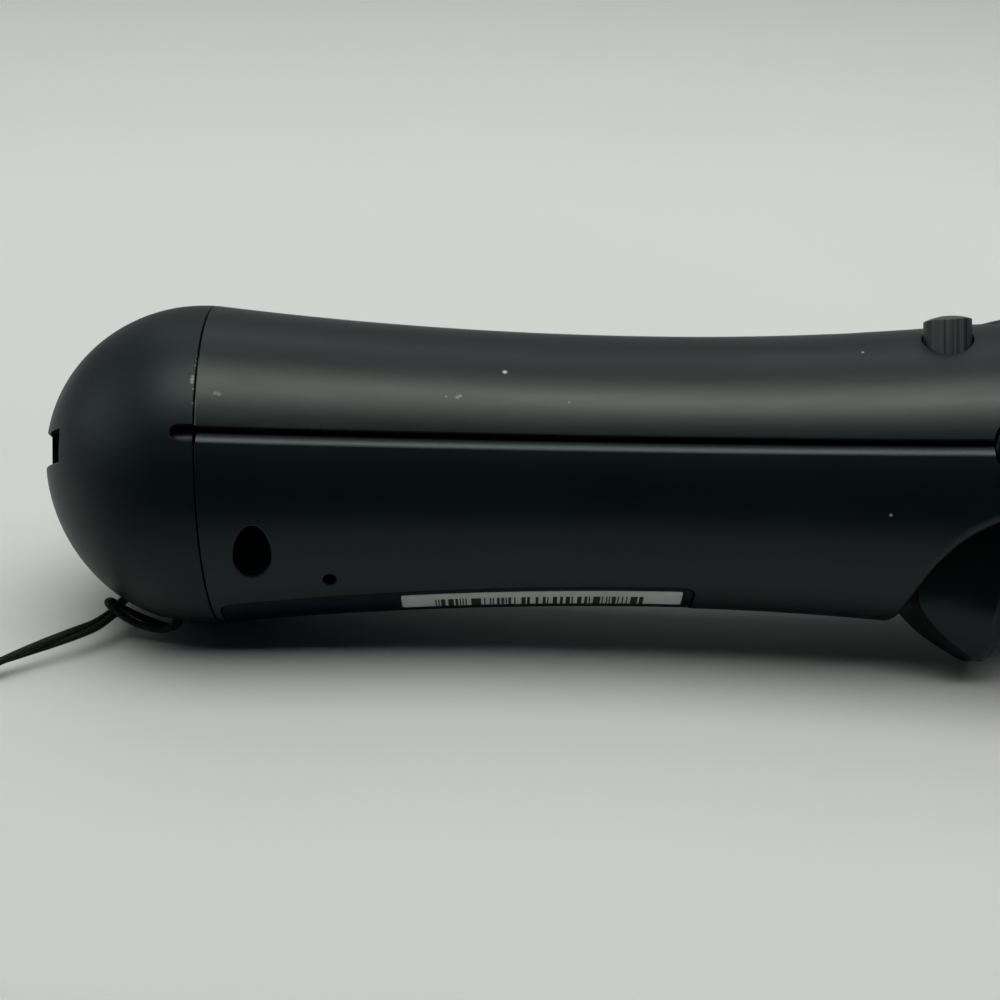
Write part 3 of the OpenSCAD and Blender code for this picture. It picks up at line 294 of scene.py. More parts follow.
def mouldedPlastic(name, **change):
    look = {**blackLook, **change}
    material, tree, shader = startMaterial(name, look["gloss"], **{"Specular Tint": (*look["gleam"], 1.0)})
    place = objectPlace(tree)
    tone = clouded(tree, place, look["patch"], look["dark"], look["light"])
    dust = specks(tree, place, look["dustCell"], look["dustSize"], look["dustShare"])
    tone = between(tree, dust, tone, look["dustTone"])
    if "marks" in look:
        tone = between(tree, spots(tree, place, look["marks"]), tone, look["markTone"])
    if "rim" in look:  # pale edge along the seam, between two heights
        rim, up = look["rim"], wandPlace(tree, 2)
        leant = calc(tree, "ADD", wandPlace(tree, 0), product(tree, up, grip["seamLean"]))
        edge = seamX + grip["seamLean"] * grip["capR"]
        edgePaling = spread(tree, cloud(tree, place, rim["patch"], detail=4.0), 0.0, rim["edgePaling"])
        paleEdge = product(tree, within(tree, leant, edge, edge + rim["wide"]), within(tree, up, *rim["heights"]), edgePaling)
        tone = between(tree, paleEdge, tone, look["markTone"])
    feed(tree, tone, shader, "Base Color")
    drawn = addNode(tree, "Mapping", {"Vector": place, "Scale": (look["rubDraw"], 1, 1)}).outputs[0]
    rub = cloud(tree, drawn, look["patch"] * look["rubSize"], look["rubDetail"], look["rubRough"])
    feed(tree, spread(tree, rub, look["smooth"], look["rough"]), shader, "Roughness")
    grain = look["grain"]
    fine = cloud(tree, place, grain, detail=2.0)
    feedBump(tree, shader, fine, look["grainHeight"], grain * look["grainDepth"])
    return material


blackLook = {
    "dark": (0.0008, 0.0028, 0.0036), "light": (0.0015, 0.0040, 0.0047), "patch": 0.009,
    "gloss": 0.26, "gleam": (0.84, 1.0, 1.0), "smooth": 0.38, "rough": 0.42,
    "grain": 0.00016, "grainHeight": 0.1, "grainDepth": 0.25,
    "rubSize": 0.35, "rubDraw": 0.12, "rubDetail": 6.0, "rubRough": 0.7,  # handling, drawn out along the wand
    "dustCell": 0.007, "dustSize": 0.00012, "dustShare": 0.08, "dustTone": (0.2, 0.21, 0.2),
    "markTone": (0.5, 0.51, 0.5),
}
# pale specks: a point on the wand, a radius in millimetres and a strength
frontMarks = (
    (55.8, -13.6, 9.9, 0.34, 1.0), (50.5, -15.7, 6.6, 0.32, 0.22), (50.8, -15.65, 6.75, 0.25, 0.25),
    (49.2, -15.8, 6.65, 0.2, 0.2), (63.2, -15.5, 6.3, 0.22, 0.2), (23.3, -18.05, 6.3, 0.34, 0.14),
    (23.7, -18.05, 6.2, 0.34, 0.14), (97.4, -11.0, 13.3, 0.22, 0.6), (38.0, -5.6, 17.0, 0.3, 0.4))
backMarks = ((99.5, -16.3, -6.1, 0.24, 0.5),)
capMarks = (
    (20.82, -16.1, 10.8, 0.16, 0.4), (20.8, -16.5, 10.2, 0.14, 0.4), (20.78, -16.85, 9.6, 0.16, 0.35),
    (20.62, -17.6, 8.2, 0.26, 0.3), (20.6, -17.75, 7.85, 0.3, 0.35), (20.62, -17.9, 7.5, 0.26, 0.3),
    (20.85, -18.2, 6.7, 0.15, 0.3), (20.9, -18.75, 5.0, 0.14, 0.3))
seamPaleEdge = {"heights": (2.0, 10.5), "wide": 0.16, "patch": 0.0012, "edgePaling": 0.2}
shellBlack = mouldedPlastic("shellBlack", marks=backMarks)
frontBlack = mouldedPlastic("frontBlack", smooth=0.34, rough=0.43, gleam=(0.92, 1.0, 1.0), marks=frontMarks,
                            rim=seamPaleEdge)
capBlack = mouldedPlastic("capBlack", smooth=0.42, rough=0.48, gloss=0.215, marks=capMarks)
triggerBlack = mouldedPlastic("triggerBlack", smooth=0.34, rough=0.4)
buttonBlack = mouldedPlastic("buttonBlack", smooth=0.25, rough=0.34, dustShare=0.03)
# painted shade: a near-black, dull finish for the walls and floors of holes and recesses, standing in for the shade
# inside them
paintedShadeBlack = plainFinish("paintedShadeBlack", (0.0006, 0.0012, 0.0014), (0.001, 0.0018, 0.002), 0.8, 0.9, gloss=0.02)
print("plastics mixed")


# mesh building
def newSkin():
    # deep holds the faces that take the painted shade finish
    return {"points": [], "normals": [], "faces": [], "uvs": [], "seen": {}, "deep": set()}


def corner(skin, p, n=None):  # points closer than a thousandth of a millimetre are one
    key = tuple(round(float(c), 3) for c in p)
    if key not in skin["seen"]:
        skin["seen"][key] = len(skin["points"])
        skin["points"].append([float(c) for c in p])
        skin["normals"].append(None)
    i = skin["seen"][key]
    if n is not None and skin["normals"][i] is None:
        skin["normals"][i] = n
    return i


def addFace(skin, ring):
    ring = [c for k, c in enumerate(ring) if c != ring[k - 1]]
    if len(set(ring)) > 2:
        skin["faces"].append(ring)


def addRings(skin, rings, closed=True, capped=()):
    rows = [[corner(skin, p) for p in ring] for ring in rings]
    for a, b in zip(rows, rows[1:]):
        for i in range(len(a) if closed else len(a) - 1):
            j = (i + 1) % len(a)
            addFace(skin, (a[i], a[j], b[j], b[i]))
    for k in capped:
        addFace(skin, rows[k])


def addPaintedShade(skin, rings):  # walls and floors that hardly any light reaches; they take the painted shade finish
    start = len(skin["faces"])
    addRings(skin, rings)
    skin["deep"].update(range(start, len(skin["faces"])))


def insideLoop(loop, points):
    inside = np.zeros(len(points), bool)
    x, y = points[:, 0], points[:, 1]
    for (x0, y0), (x1, y1) in zip(loop, np.roll(loop, -1, 0)):
        if y0 != y1:
            inside ^= ((y0 > y) != (y1 > y)) & (x < (x1 - x0) * (y - y0) / (y1 - y0) + x0)
    return inside


def openArea(loops, points):  # within the first loop and outside the others
    keep = insideLoop(loops[0], points)
    for loop in loops[1:]:
        keep &= ~insideLoop(loop, points)
    return keep


meshing = {"rowPitch": 0.87, "rimClear": 0.45, "merge": 1e-6}  # shares of the spacing, and a flat distance


def addRegion(skin, loops, spacing, lift, extra=None):  # even triangles between flat loops, lifted to the shape
    edges, start = [], 0
    for loop in loops:
        n = len(loop)
        edges += [(start + i, start + (i + 1) % n) for i in range(n)]
        start += n
    rim = np.vstack(loops)
    low, high = loops[0].min(0), loops[0].max(0)
    rows = np.arange(low[1], high[1], spacing * meshing["rowPitch"])
    grid = np.array([(x, y) for k, y in enumerate(rows)
                     for x in np.arange(low[0] + spacing * 0.5 * (k % 2), high[0], spacing)])
    grid = grid[openArea(loops, grid)]
    near = np.array([np.min(np.sum((rim - g) ** 2, 1)) for g in grid])
    grid = grid[near > (meshing["rimClear"] * spacing) ** 2]
    flat = np.vstack([rim, grid] if extra is None else [rim, extra, grid])
    corners = [Vector(p) for p in flat.tolist()]
    places, _, triangles, *_ = delaunay_2d_cdt(corners, edges, [], 0, meshing["merge"])
    places = np.array([tuple(s) for s in places])
    kept = openArea(loops, np.array([places[list(t)].mean(0) for t in triangles]))
    points, normals = lift(places)
    ids = {}
    for t, keep in zip(triangles, kept):
        if keep:
            for i in t:
                if i not in ids:
                    ids[i] = corner(skin, points[i], None if normals is None else normals[i])
            addFace(skin, [ids[i] for i in t])


def softEdge(loop, normals, inward, lip, seat, steps=3):  # rounded lip of an opening, from the skin to its wall
    lip = np.broadcast_to(lip, len(loop))[:, None]
    out = unit(np.cross(np.roll(loop, -1, 0) - np.roll(loop, 1, 0), normals))
    if np.sum((loop - loop.mean(0)) * out) < 0:
        out = -out
    start, end = seat(loop + out * lip), loop + inward * lip
    return [start] + [bend(start, loop, end, k) for k in np.linspace(0, 1, steps + 2)[1:-1]] + [end]


def finishPiece(name, skin, material, body="wand", stands=(), inRow=False, sharp=None):
    mesh = bpy.data.meshes.new(name)
    points = np.array(skin["points"])
    mesh.from_pydata((points * mm if inRow else toRow(leanSeam(points))).tolist(), [], skin["faces"])
    if skin["uvs"]:
        layer = mesh.uv_layers.new(name="run")
        layer.data.foreach_set("uv", np.array([c for face in skin["uvs"] for c in face], float).ravel())
    known = [i for i, n in enumerate(skin["normals"]) if n is not None]
    if known:
        want = np.array([skin["normals"][i] for i in known]) @ wandTurn.T
    work = bmesh.new()
    work.from_mesh(mesh)
    if not skin["uvs"]:
        bmesh.ops.recalc_face_normals(work, faces=work.faces)
        work.verts.ensure_lookup_table()
        if known:
            work.normal_update()
            have = np.array([work.verts[i].normal[:] for i in known])
            if np.sum(want * have) < 0:
                bmesh.ops.reverse_faces(work, faces=work.faces)
    work.to_mesh(mesh)
    work.free()
    mesh.shade_smooth()
    if known:
        normals = np.zeros(len(points) * 3)
        mesh.vertices.foreach_get("normal", normals)
        normals = normals.reshape(-1, 3)
        normals[known] = want
        mesh.normals_split_custom_set_from_vertices(normals.tolist())
    elif sharp:
        mesh.set_sharp_from_angle(angle=radians(sharp))
    piece = bpy.data.objects.new(name, mesh)
    bpy.context.collection.objects.link(piece)
    mesh.materials.append(material)
    # faces in deep get painted shade: the near-black finish stands in for the shade in holes and recesses
    if skin["deep"]:
        mesh.materials.append(paintedShadeBlack)
        for i in skin["deep"]:
            mesh.polygons[i].material_index = 1
    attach(piece, body)
    if stands:
        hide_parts(*stands)
    return piece


def smoothRun(points, step):  # even points on a smooth curve through the given ones
    p = np.asarray(points, float)
    p = np.vstack([2 * p[0] - p[1], p, 2 * p[-1] - p[-2]])
    run = []
    for a, b, c, d in zip(p, p[1:], p[2:], p[3:]):
        for t in np.linspace(0, 1, max(2, int(np.linalg.norm(c - b) / step) + 1))[:-1]:
            run.append(0.5 * (2 * b + (c - a) * t + (2 * a - 5 * b + 4 * c - d) * t ** 2
                              + (3 * b - a - 3 * c + d) * t ** 3))
    return np.vstack(run + [p[-2]])


def runLengths(run):
    return np.concatenate([[0], np.cumsum(np.linalg.norm(np.diff(run, axis=0), axis=1))])


upWay = np.array([0, 0, 1.0])


def carryFrames(run):  # cross directions carried along a run without twist
    ways = unit(np.gradient(run, axis=0))
    sides, side = [], np.cross(ways[0], upWay)
    for way in ways:
        side = unit(side - way * (side @ way))
        sides.append(side)
    return np.array(sides), np.cross(sides, ways)


def addTube(skin, run, radius, sides):
    aside, above = carryFrames(run)
    lengths, first = runLengths(run), len(skin["points"])
    for p, a, b in zip(run, aside, above):
        for k in range(sides):
            turn = 2 * pi * k / sides
            skin["points"].append((p + radius * (cos(turn) * a + sin(turn) * b)).tolist())
            skin["normals"].append(None)
    for i in range(len(run) - 1):
        for k in range(sides):
            j = (k + 1) % sides
            a, b = first + i * sides, first + (i + 1) * sides
            skin["faces"].append([a + k, b + k, b + j, a + j])
            u, v, w, x = lengths[i], lengths[i + 1], k / sides, (k + 1) / sides
            skin["uvs"].append([(u, w), (v, w), (v, x), (u, x)])
    last = first + (len(run) - 1) * sides
    for ring, at in (([first + k for k in range(sides)], lengths[0]),
                     ([last + k for k in reversed(range(sides))], lengths[-1])):
        skin["faces"].append(ring)
        skin["uvs"].append([(at, 0.0)] * sides)


# wrist strap: a doubled thin braid, hitched round the bridge in the end cap
strap = {
    "route": [  # metres, from the hitch to the start of the coil
        (-0.091, -0.0093, 0.0034), (-0.0917, -0.0101, 0.0031), (-0.0923, -0.0111, 0.003),
        (-0.0931, -0.0121, 0.0029), (-0.0955, -0.0144, 0.0028), (-0.0982, -0.0162, 0.0024),
        (-0.1007, -0.0181, 0.0021), (-0.1036, -0.0204, 0.00175), (-0.1066, -0.0226, 0.0015),
        (-0.1099, -0.0246, 0.00135), (-0.1134, -0.0259, 0.0012), (-0.1154, -0.0263, 0.00115),
        (-0.117, -0.0264, 0.00115)],
    "width": 1.6, "strand": 0.92, "twistRun": 36.0, "routeStep": 0.45, "strandSides": 10,
    "coilAcross": 17.6, "coilTurns": 2.75, "coilGap": 0.55, "coilSteps": 240,
    "tuckR": 3.4, "tuckTurn": 110.0, "tuckSteps": 20,
    "hitchStrand": 0.9, "hitchGap": 0.02, "hitchStep": 0.3, "hitchSides": 12,
    "hitch": [  # degrees on the dome from its back, distance from the dome's centre, side
        (30.5, 20.7, 0.15), (29.4, 19.1, 0.5), (28.1, 17.4, 0.7), (24.9, 16, 0.9), (18.5, 15.3, 0.9),
        (14, 15, 0.9), (10.6, 15.8, 0.9), (9.4, 17.2, 0.9), (8.7, 18.9, 0.9), (9.6, 20.1, 0.9),
        (12.2, 20.4, 0.75), (16.7, 20.35, 0.5), (22.2, 20.4, 0.55), (26.2, 20.5, 0.95), (29.5, 20.6, 1.28),
        (32.1, 20.6, 1.1), (33.5, 20.6, 0.4), (33.7, 20.7, -0.4), (33.5, 20.8, -1.25), (32.1, 20.9, -1.95),
        (29.5, 21, -2.05), (26.2, 21.15, -1.45), (22.2, 21.25, -0.7), (16.7, 21.1, -0.55),
        (12.2, 20.75, -0.75), (9.6, 20.1, -0.9), (8.7, 18.9, -0.9), (9.4, 17.2, -0.9), (10.6, 15.8, -0.9),
        (14, 15, -0.9), (18.5, 15.3, -0.9), (24.9, 16, -0.9), (28.1, 17.4, -0.7), (29.4, 19.1, -0.52),
        (30.5, 20.7, -0.92)],
    "bead": ((0, 0.55), (0.1, 0.85), (0.4, 1.08), (0.9, 1.15), (1.3, 1.1), (1.6, 1.06), (1.9, 1.1), (2.3, 1.15),
             (2.8, 1.08), (3.1, 0.85), (3.2, 0.5)),  # a waisted barrel, along and across
    "beadSides": 28, "beadSharp": 40,
}
braidLook = {
    "plait": 0.9, "yarns": 4, "fuzz": 0.0002, "dark": (0.0014, 0.0018, 0.0018), "light": (0.0065, 0.0072, 0.0068),
    "gloss": 0.2, "sheen": 0.06, "sheenRough": 0.4, "smooth": 0.55, "rough": 0.8, "relief": 0.6, "deep": 0.00008,
    # valley sets how far the painted shade between the yarns reaches
    "valleyShade": -0.6, "fuzzDark": 0.5,
}


def braidedCord(name, look):
    material, tree, shader = startMaterial(name, look["gloss"], **{"Sheen Weight": look["sheen"],
                                                                   "Sheen Roughness": look["sheenRough"]})
    run = addNode(tree, "UVMap", uv_map="run").outputs[0]
    parts = addNode(tree, "SeparateXYZ", {0: run})
    along = product(tree, parts.outputs[0], 2 * pi / look["plait"])
    around = product(tree, parts.outputs[1], 2 * pi * look["yarns"])
    left, right = (calc(tree, "SINE", calc(tree, way, along, around)) for way in ("ADD", "SUBTRACT"))
    weave = spread(tree, calc(tree, "MAXIMUM", left, right), 0.0, 1.0, look["valleyShade"], 1.0)
    fuzz = cloud(tree, objectPlace(tree), look["fuzz"], detail=4.0)
    # painted shade and highlight: the yarns' valleys darker, their crowns lighter, with random fuzz in the tone
    weaveShadeAndFuzz = product(tree, weave, spread(tree, fuzz, look["fuzzDark"], 1.0))
    feed(tree, between(tree, weaveShadeAndFuzz, look["dark"], look["light"]), shader, "Base Color")
    feed(tree, spread(tree, fuzz, look["smooth"], look["rough"]), shader, "Roughness")
    feedBump(tree, shader, weave, look["relief"], look["deep"])
    return material


strapBraid = braidedCord("strapBraid", braidLook)


def strapRun():  # middle line of the strap in millimetres, and the way it ends
    route = np.array(strap["route"]) * metre
    pitch = strap["width"] + strap["coilGap"]
    outer = strap["coilAcross"] / 2 + pitch * strap["coilTurns"] / 2
    centre = route[-1] + np.array([-strap["width"], -outer, 0])
    turns = np.linspace(0, strap["coilTurns"], strap["coilSteps"])
    spin, reach = pi / 2 + 2 * pi * turns, outer - pitch * turns
    coil = centre + np.stack([reach * np.cos(spin), reach * np.sin(spin), 0 * spin], 1)
    inner = outer - pitch * strap["coilTurns"]
    at = centre + (inner - strap["tuckR"]) * np.array([cos(spin[-1]), sin(spin[-1]), 0])
    turn = spin[-1] + np.radians(np.linspace(0, strap["tuckTurn"], strap["tuckSteps"])[1:])
    tuck = at + strap["tuckR"] * np.stack([np.cos(turn), np.sin(turn), 0 * turn], 1)
    way = np.array([-sin(turn[-1]), cos(turn[-1]), 0])
    run = np.vstack([smoothRun(route, strap["routeStep"]), coil, tuck, [tuck[-1] + strap["width"] * way]])
    return run, way


def makeStrap():
    run, way = strapRun()
    lengths = runLengths(run)
    aside, above = carryFrames(run)
    turn = 2 * pi * lengths / strap["twistRun"]
    reach = (strap["width"] - strap["strand"]) / 2
    skin = newSkin()
    for s in (1, -1):
        off = s * reach * (np.cos(turn)[:, None] * aside + np.sin(turn)[:, None] * above)
        addTube(skin, run + off, strap["strand"] / 2, strap["strandSides"])
    cord = finishPiece("strapDoubled", skin, strapBraid, stands=("strap_cord", "strap_coil"),
                       inRow=True)

    half = strap["hitchStrand"] / 2
    lead = unit(run[0] - run[1])
    aside = unit(np.cross(upWay, lead)) * (half + strap["hitchGap"])
    leads = [run[0], run[0] + half * lead]
    dome = [(grip["capR"] - reach * sin(radians(angle)), side, -reach * cos(radians(angle)))
            for angle, reach, side in strap["hitch"]]
    loop = np.vstack([[p + aside for p in leads], toRow(sinkDome(dome)) * metre, [p - aside for p in leads[::-1]]])
    skin = newSkin()
    addTube(skin, smoothRun(loop, strap["hitchStep"]), half, strap["hitchSides"])
    hitch = finishPiece("strapHitch", skin, strapBraid, stands=("strap_hitch",), inRow=True)

    skin, across = newSkin(), np.cross(upWay, way)
    turns = np.linspace(0, 2 * pi, strap["beadSides"], endpoint=False)
    rings = [[run[-1] + x * way + r * (cos(a) * across + sin(a) * upWay) for a in turns] for x, r in strap["bead"]]
    addRings(skin, rings, capped=(0, -1))
    bead = finishPiece("strapBead", skin, buttonBlack, stands=("strap_end",), inRow=True,
                       sharp=strap["beadSharp"])
    return lengths[-1]


print("strap", round(makeStrap(), 1), "mm from hitch to bead")

# side buttons; their recesses are shared by the shells
sideButton = {"x": 116.0, "long": 10.2, "high": 6.4, "gap": 0.3, "sunk": 0.4, "base": 16.2, "fillet": 0.35,
              "insets": (0.8, 1.4, 2.0, 2.6, 3.1)}


def recessHalf(x):  # half height of the side button's recess at a station
    half = sideButton["high"] / 2 + sideButton["gap"]
    past = np.maximum(np.abs(x - sideButton["x"]) - (sideButton["long"] - sideButton["high"]) / 2, 0)
    return np.sqrt(np.maximum(half ** 2 - past ** 2, 0))


shells = {
    "lip": 0.22, "brim": 0.06, "bevelHold": np.array([-0.24, 0.8]), "upperStep": 0.68, "lowerStep": 1.1,
    "partingUp": 0.3, "crack": 0.02, "foot": 0.12, "tuck": 1.2, "endDeep": 1.6, "endStep": 1.1,
    "stations": 132, "fineSteps": (-0.01, 0.01, 0.05, 0.12, 0.25, 0.45, 0.7),  # closer at the recess's ends
    "recess": 4.2, "buttonLip": 0.22, "wellLip": 0.3, "mouthLip": 1.2, "mouthSteps": 6, "spacing": 1.25,
}
unrollR = 18.0  # radius at which the skin is laid out flat


def grooveStations():
    even = np.linspace(seamX + shells["lip"], neckX - shells["lip"], shells["stations"])
    half = sideButton["high"] / 2 + sideButton["gap"]
    reach = (sideButton["long"] - sideButton["high"]) / 2 + sqrt(half ** 2 - grip["grooveStep"] ** 2)
    fine = [sideButton["x"] + s * (reach - d) for s in (-1, 1) for d in shells["fineSteps"]]
    return np.unique(np.concatenate([even, fine]))


def grooveRings(x, side, hand):  # lip, wall and floor of the parting groove on one side of one shell
    r, lip, plane, foot = gripRadius(x), shells["lip"], grip["parting"], shells["foot"]
    inRecess = recessHalf(x) > shells["lowerStep"]
    rise = np.where(inRecess, recessHalf(x), shells["upperStep" if side > 0 else "lowerStep"])
    z = plane + side * rise
    y = np.sqrt(r ** 2 - z ** 2)
    floor = r - np.where(inRecess, shells["recess"], grip["grooveDeep"])
    level = (side > 0) | inRecess
    angle = np.arctan2(y, side * z) - lip / r + np.where(level, 0, (lip - shells["brim"]) / r)
    start = np.stack([r * np.sin(angle), side * r * np.cos(angle)], 1)
    near = plane + shells["partingUp"] + side * shells["crack"] + 0 * z
    edge, inner = np.stack([y, z], 1), np.stack([floor, near], 1)
    end = edge - (lip, 0)
    square = [bend(start, edge, end, k) for k in (0.25, 0.5, 0.75)]
    square += [end, np.stack([floor + foot, z], 1), np.stack([floor, z - side * foot], 1)]
    hold = edge + shells["bevelHold"] * rise[:, None]
    bevel = [bend(edge, hold, inner, k) for k in (0, 0.2, 0.4, 0.6, 0.8, 1)]
    rings = [start] + [np.where(level[:, None], a, b) for a, b in zip(square, bevel)]
    rings += [inner, np.stack([floor - shells["tuck"], near], 1)]
    return [np.stack([x, hand * ring[:, 0], ring[:, 1]], 1) for ring in rings]


def shellEnd(x, toward, low, side):  # rounded end of a shell at the seam or the neck
    lip = shells["lip"]
    angles = np.linspace(low, -low, int((-low - low) * unrollR / shells["endStep"]))
    outer, edge = gripRadius(x + toward * lip), gripRadius(x)
    rings = [(bend(x + toward * lip, x, x, k), bend(outer, edge, edge - lip, k)) for k in (0, 0.25, 0.5, 0.75, 1)]
    rings.append((x, edge - shells["endDeep"]))
    return [np.stack([0 * angles + at, r * np.sin(angles), side * r * np.cos(angles)], 1) for at, r in rings]


def unroll(points, side):
    return np.stack([points[:, 0], unrollR * np.arctan2(points[:, 1], side * points[:, 2])], 1)


def gripLift(side, sink=0.0):
    def lift(places):
        angle = places[:, 1] / unrollR
        return onGrip(places[:, 0], angle, side, sink), gripNormal(places[:, 0], angle, side)
    return lift


def seatOnGrip(points):
    scale = gripRadius(points[:, 0]) / np.hypot(points[:, 1], points[:, 2])
    return np.stack([points[:, 0], points[:, 1] * scale, points[:, 2] * scale], 1)


def circleLoop(x, y, r, n=48):
    turn = np.linspace(0, 2 * pi, n, endpoint=False)
    return np.stack([x + r * np.cos(turn), y + r * np.sin(turn)], 1)


def pillLoop(long, wide, x=0.0, y=0.0, bends=24, flats=10, shortest=0.3):
    turn = np.linspace(-pi / 2, pi / 2, bends)
    half = (long - wide) / 2
    right = np.stack([half + wide / 2 * np.cos(turn), wide / 2 * np.sin(turn)], 1)
    stops = np.linspace(half, -half, flats)[1:-1] if half > shortest else []
    top = np.array([(a, wide / 2) for a in stops]).reshape(-1, 2)
    return np.vstack([right, top, -right, -top]) + (x, y)


def roundBoxLoop(long, wide, cornerR, x=0.0, y=0.0, step=1.2, bends=7):
    loop = []
    for k, (right, up) in enumerate(((1, 1), (-1, 1), (-1, -1), (1, -1))):
        mid = np.array([(long / 2 - cornerR) * right, (wide / 2 - cornerR) * up])
        for a in np.linspace(k * pi / 2, (k + 1) * pi / 2, bends):
            loop.append(mid + cornerR * np.array([cos(a), sin(a)]))
    dense = []
    for a, b in zip(loop, loop[1:] + loop[:1]):
        n = max(1, int(np.linalg.norm(b - a) / step))
        dense += [a + (b - a) * i / n for i in range(n)]
    return np.array(dense) + (x, y)


def dropOnGrip(flat, side, sink=0.0):  # flat outline pressed straight down on the front or up on the back
    r = gripRadius(flat[:, 0]) - sink
    return np.stack([flat[:, 0], flat[:, 1], side * np.sqrt(r ** 2 - flat[:, 1] ** 2)], 1)


def normalsAt(points, side):
    return gripNormal(points[:, 0], np.arctan2(points[:, 1], side * points[:, 2]), side)


def straightHole(skin, flat, side, lip, depth=1.0, plane=None, floorR=None):
    loop = dropOnGrip(flat, side)
    inward = np.tile([0.0, 0.0, -side], (len(loop), 1))
    rings = softEdge(loop, normalsAt(loop, side), inward, lip, seatOnGrip)
    addRings(skin, rings)
    end = loop + inward * depth
    if plane is not None:
        end[:, 2] = plane
    walls = [rings[-1], end]
    if floorR:  # floor of a well, in to the screw
        middle = flat.mean(0)
        size = np.linalg.norm(flat - middle, axis=1).mean()
        inner = end.copy()
        inner[:, :2] = middle + (flat - middle) * floorR / size
        walls.append(inner)
    addPaintedShade(skin, walls)
    return unroll(rings[0], side)


def shellBody(side, holes):  # each hole is a function and what it takes after the skin
    skin = newSkin()
    x = grooveStations()
    near, far = grooveRings(x, side, -1), grooveRings(x, side, 1)
    low = unroll(near[0], side)[:, 1] / unrollR
    rear, front = shellEnd(seamX, 1, low[0], side), shellEnd(neckX, -1, low[-1], side)
    for rings in (near, far, rear, front):
        addRings(skin, rings, closed=False)
    near, front, far, rear = (unroll(rings[0], side) for rings in (near, front, far, rear))
    outer = np.vstack([near, front[1:-1], far[::-1], rear[::-1][1:-1]])
    loops = [outer] + [make(skin, *more) for make, *more in holes]
    addRegion(skin, loops, shells["spacing"], gripLift(side))
    return skin


# front buttons, each a flat outline with a gap round it
frontButtons = {
    "faceR": 2.79, "faceY": 9.6, "faceX": (107.6, 107.6, 129.6, 129.6), "faceSide": (-1, 1, -1, 1),
    "faceTop": 18.0, "faceTilt": 5.0, "faceLean": 4.0, "faceDome": 7.3, "faceFillet": 0.1, "faceGap": 0.21,
    "faceLip": 0.1, "faceBase": 12.2, "faceInsets": (0.6, 1.2, 1.8, 2.4, 2.75), "faceSteps": 64,
    "mainLong": 15.0, "mainWide": 11.0, "mainX": 118.6, "mainProud": 0.4, "mainDrop": 1.0, "mainFillet": 0.8,
    "mainBase": 14.6, "mainInsets": (1.3, 2.0, 2.8, 3.6, 4.4, 5.1, 5.45),
    "homeR": 3.2, "homeX": 96.6, "homeProud": -0.1, "homeFillet": 0.35, "homeBase": 14.2,
    "homeInsets": (0.7, 1.3, 2.0, 2.6, 3.1), "homeSteps": 56,
    "lensX": 89.6, "lensR": 0.8, "lensGap": 0.1, "lensLip": 0.1, "lensDeep": 1.0, "lensSteps": 20,
    "gap": 0.3, "deep": 4.0,
}


def makeFrontShell():
    b, gap, lip = frontButtons, frontButtons["gap"], shells["buttonLip"]
    holes = [(straightHole, circleLoop(x, s * b["faceY"], b["faceR"] + b["faceGap"]), 1, b["faceLip"], b["deep"])
             for x, s in zip(b["faceX"], b["faceSide"])]
    main = pillLoop(b["mainLong"] + 2 * gap, b["mainWide"] + 2 * gap, b["mainX"])
    lens = circleLoop(b["lensX"], 0, b["lensR"] + b["lensGap"], b["lensSteps"])
    holes += [(straightHole, main, 1, lip, b["deep"]),
              (straightHole, circleLoop(b["homeX"], 0, b["homeR"] + gap), 1, lip, b["deep"]),
              (straightHole, lens, 1, b["lensLip"], b["lensDeep"])]
    finishPiece("frontShell", shellBody(1, holes), frontBlack, stands=("front_shell",))


makeFrontShell()
print("front shell made")

backHoles = {
    "screws": ((27.4, 14.4), (27.4, -14.4), (148.4, 11.4), (148.4, -11.4)),
    "wellR": 2.2, "wellFloor": -4.5, "wellFloorR": 1.0,
    "reset": (35.95, -10.85), "resetR": 0.8, "resetIn": -9.0, "resetLip": 0.25, "resetSteps": 24,
    "labelX": 22.2, "labelLong": 56.1, "labelWide": 15.8, "labelCorner": 1.6, "labelGap": 0.22, "labelDeep": 0.3,
    "labelLip": 0.08, "labelNarrow": 0.93,
}
triggerMouth = {"x": 103.0, "long": 30.0, "top": -5.9, "rearCorner": 13.5, "frontCorner": 8.0, "wall": 2.6,
                "rearSteps": 30, "topSteps": 10, "frontSteps": 18, "lowSteps": 12, "tries": 30}


def mouthLoop():  # upper outline of the trigger opening in side view with its outward normals, then round the back
    m = triggerMouth
    x0, x1, c0, c1 = m["x"], m["x"] + m["long"], m["rearCorner"], m["frontCorner"]
    side = []
    first = pi  # where the rear corner's circle leaves the grip at the back's middle line
    for _ in range(m["tries"]):
        first = pi - asin((c0 - m["top"] - gripRadius(x0 + c0 + c0 * cos(first))) / c0)
    for k in np.linspace(0, 1, m["rearSteps"]):
        a = first + (pi / 2 - first) * k ** 2
        side.append((x0 + c0 + c0 * cos(a), m["top"] - c0 + c0 * sin(a), cos(a), sin(a)))
    for x in np.linspace(x0 + c0, x1 - c1, m["topSteps"])[1:-1]:
        side.append((x, m["top"], 0, 1))
    for a in np.linspace(pi / 2, 0, m["frontSteps"]):
        side.append((x1 - c1 + c1 * cos(a), m["top"] - c1 + c1 * sin(a), cos(a), sin(a)))
    low = m["top"] - c1
    for y in np.linspace(sqrt(gripRadius(x1) ** 2 - low ** 2), 0, m["lowSteps"])[1:]:
        side.append((x1, -sqrt(gripRadius(x1) ** 2 - y ** 2), 1, 0))
    s = np.array(side, float)
    y = np.sqrt(np.maximum(gripRadius(s[:, 0]) ** 2 - s[:, 1] ** 2, 0))
    half = np.stack([s[:, 0], -y, s[:, 1]], 1)
    normal = np.stack([s[:, 2], 0 * y, s[:, 3]], 1)
    other = half[1:-1][::-1] * (1, -1, 1)
    return np.vstack([half, other]), np.vstack([normal, normal[1:-1][::-1]])


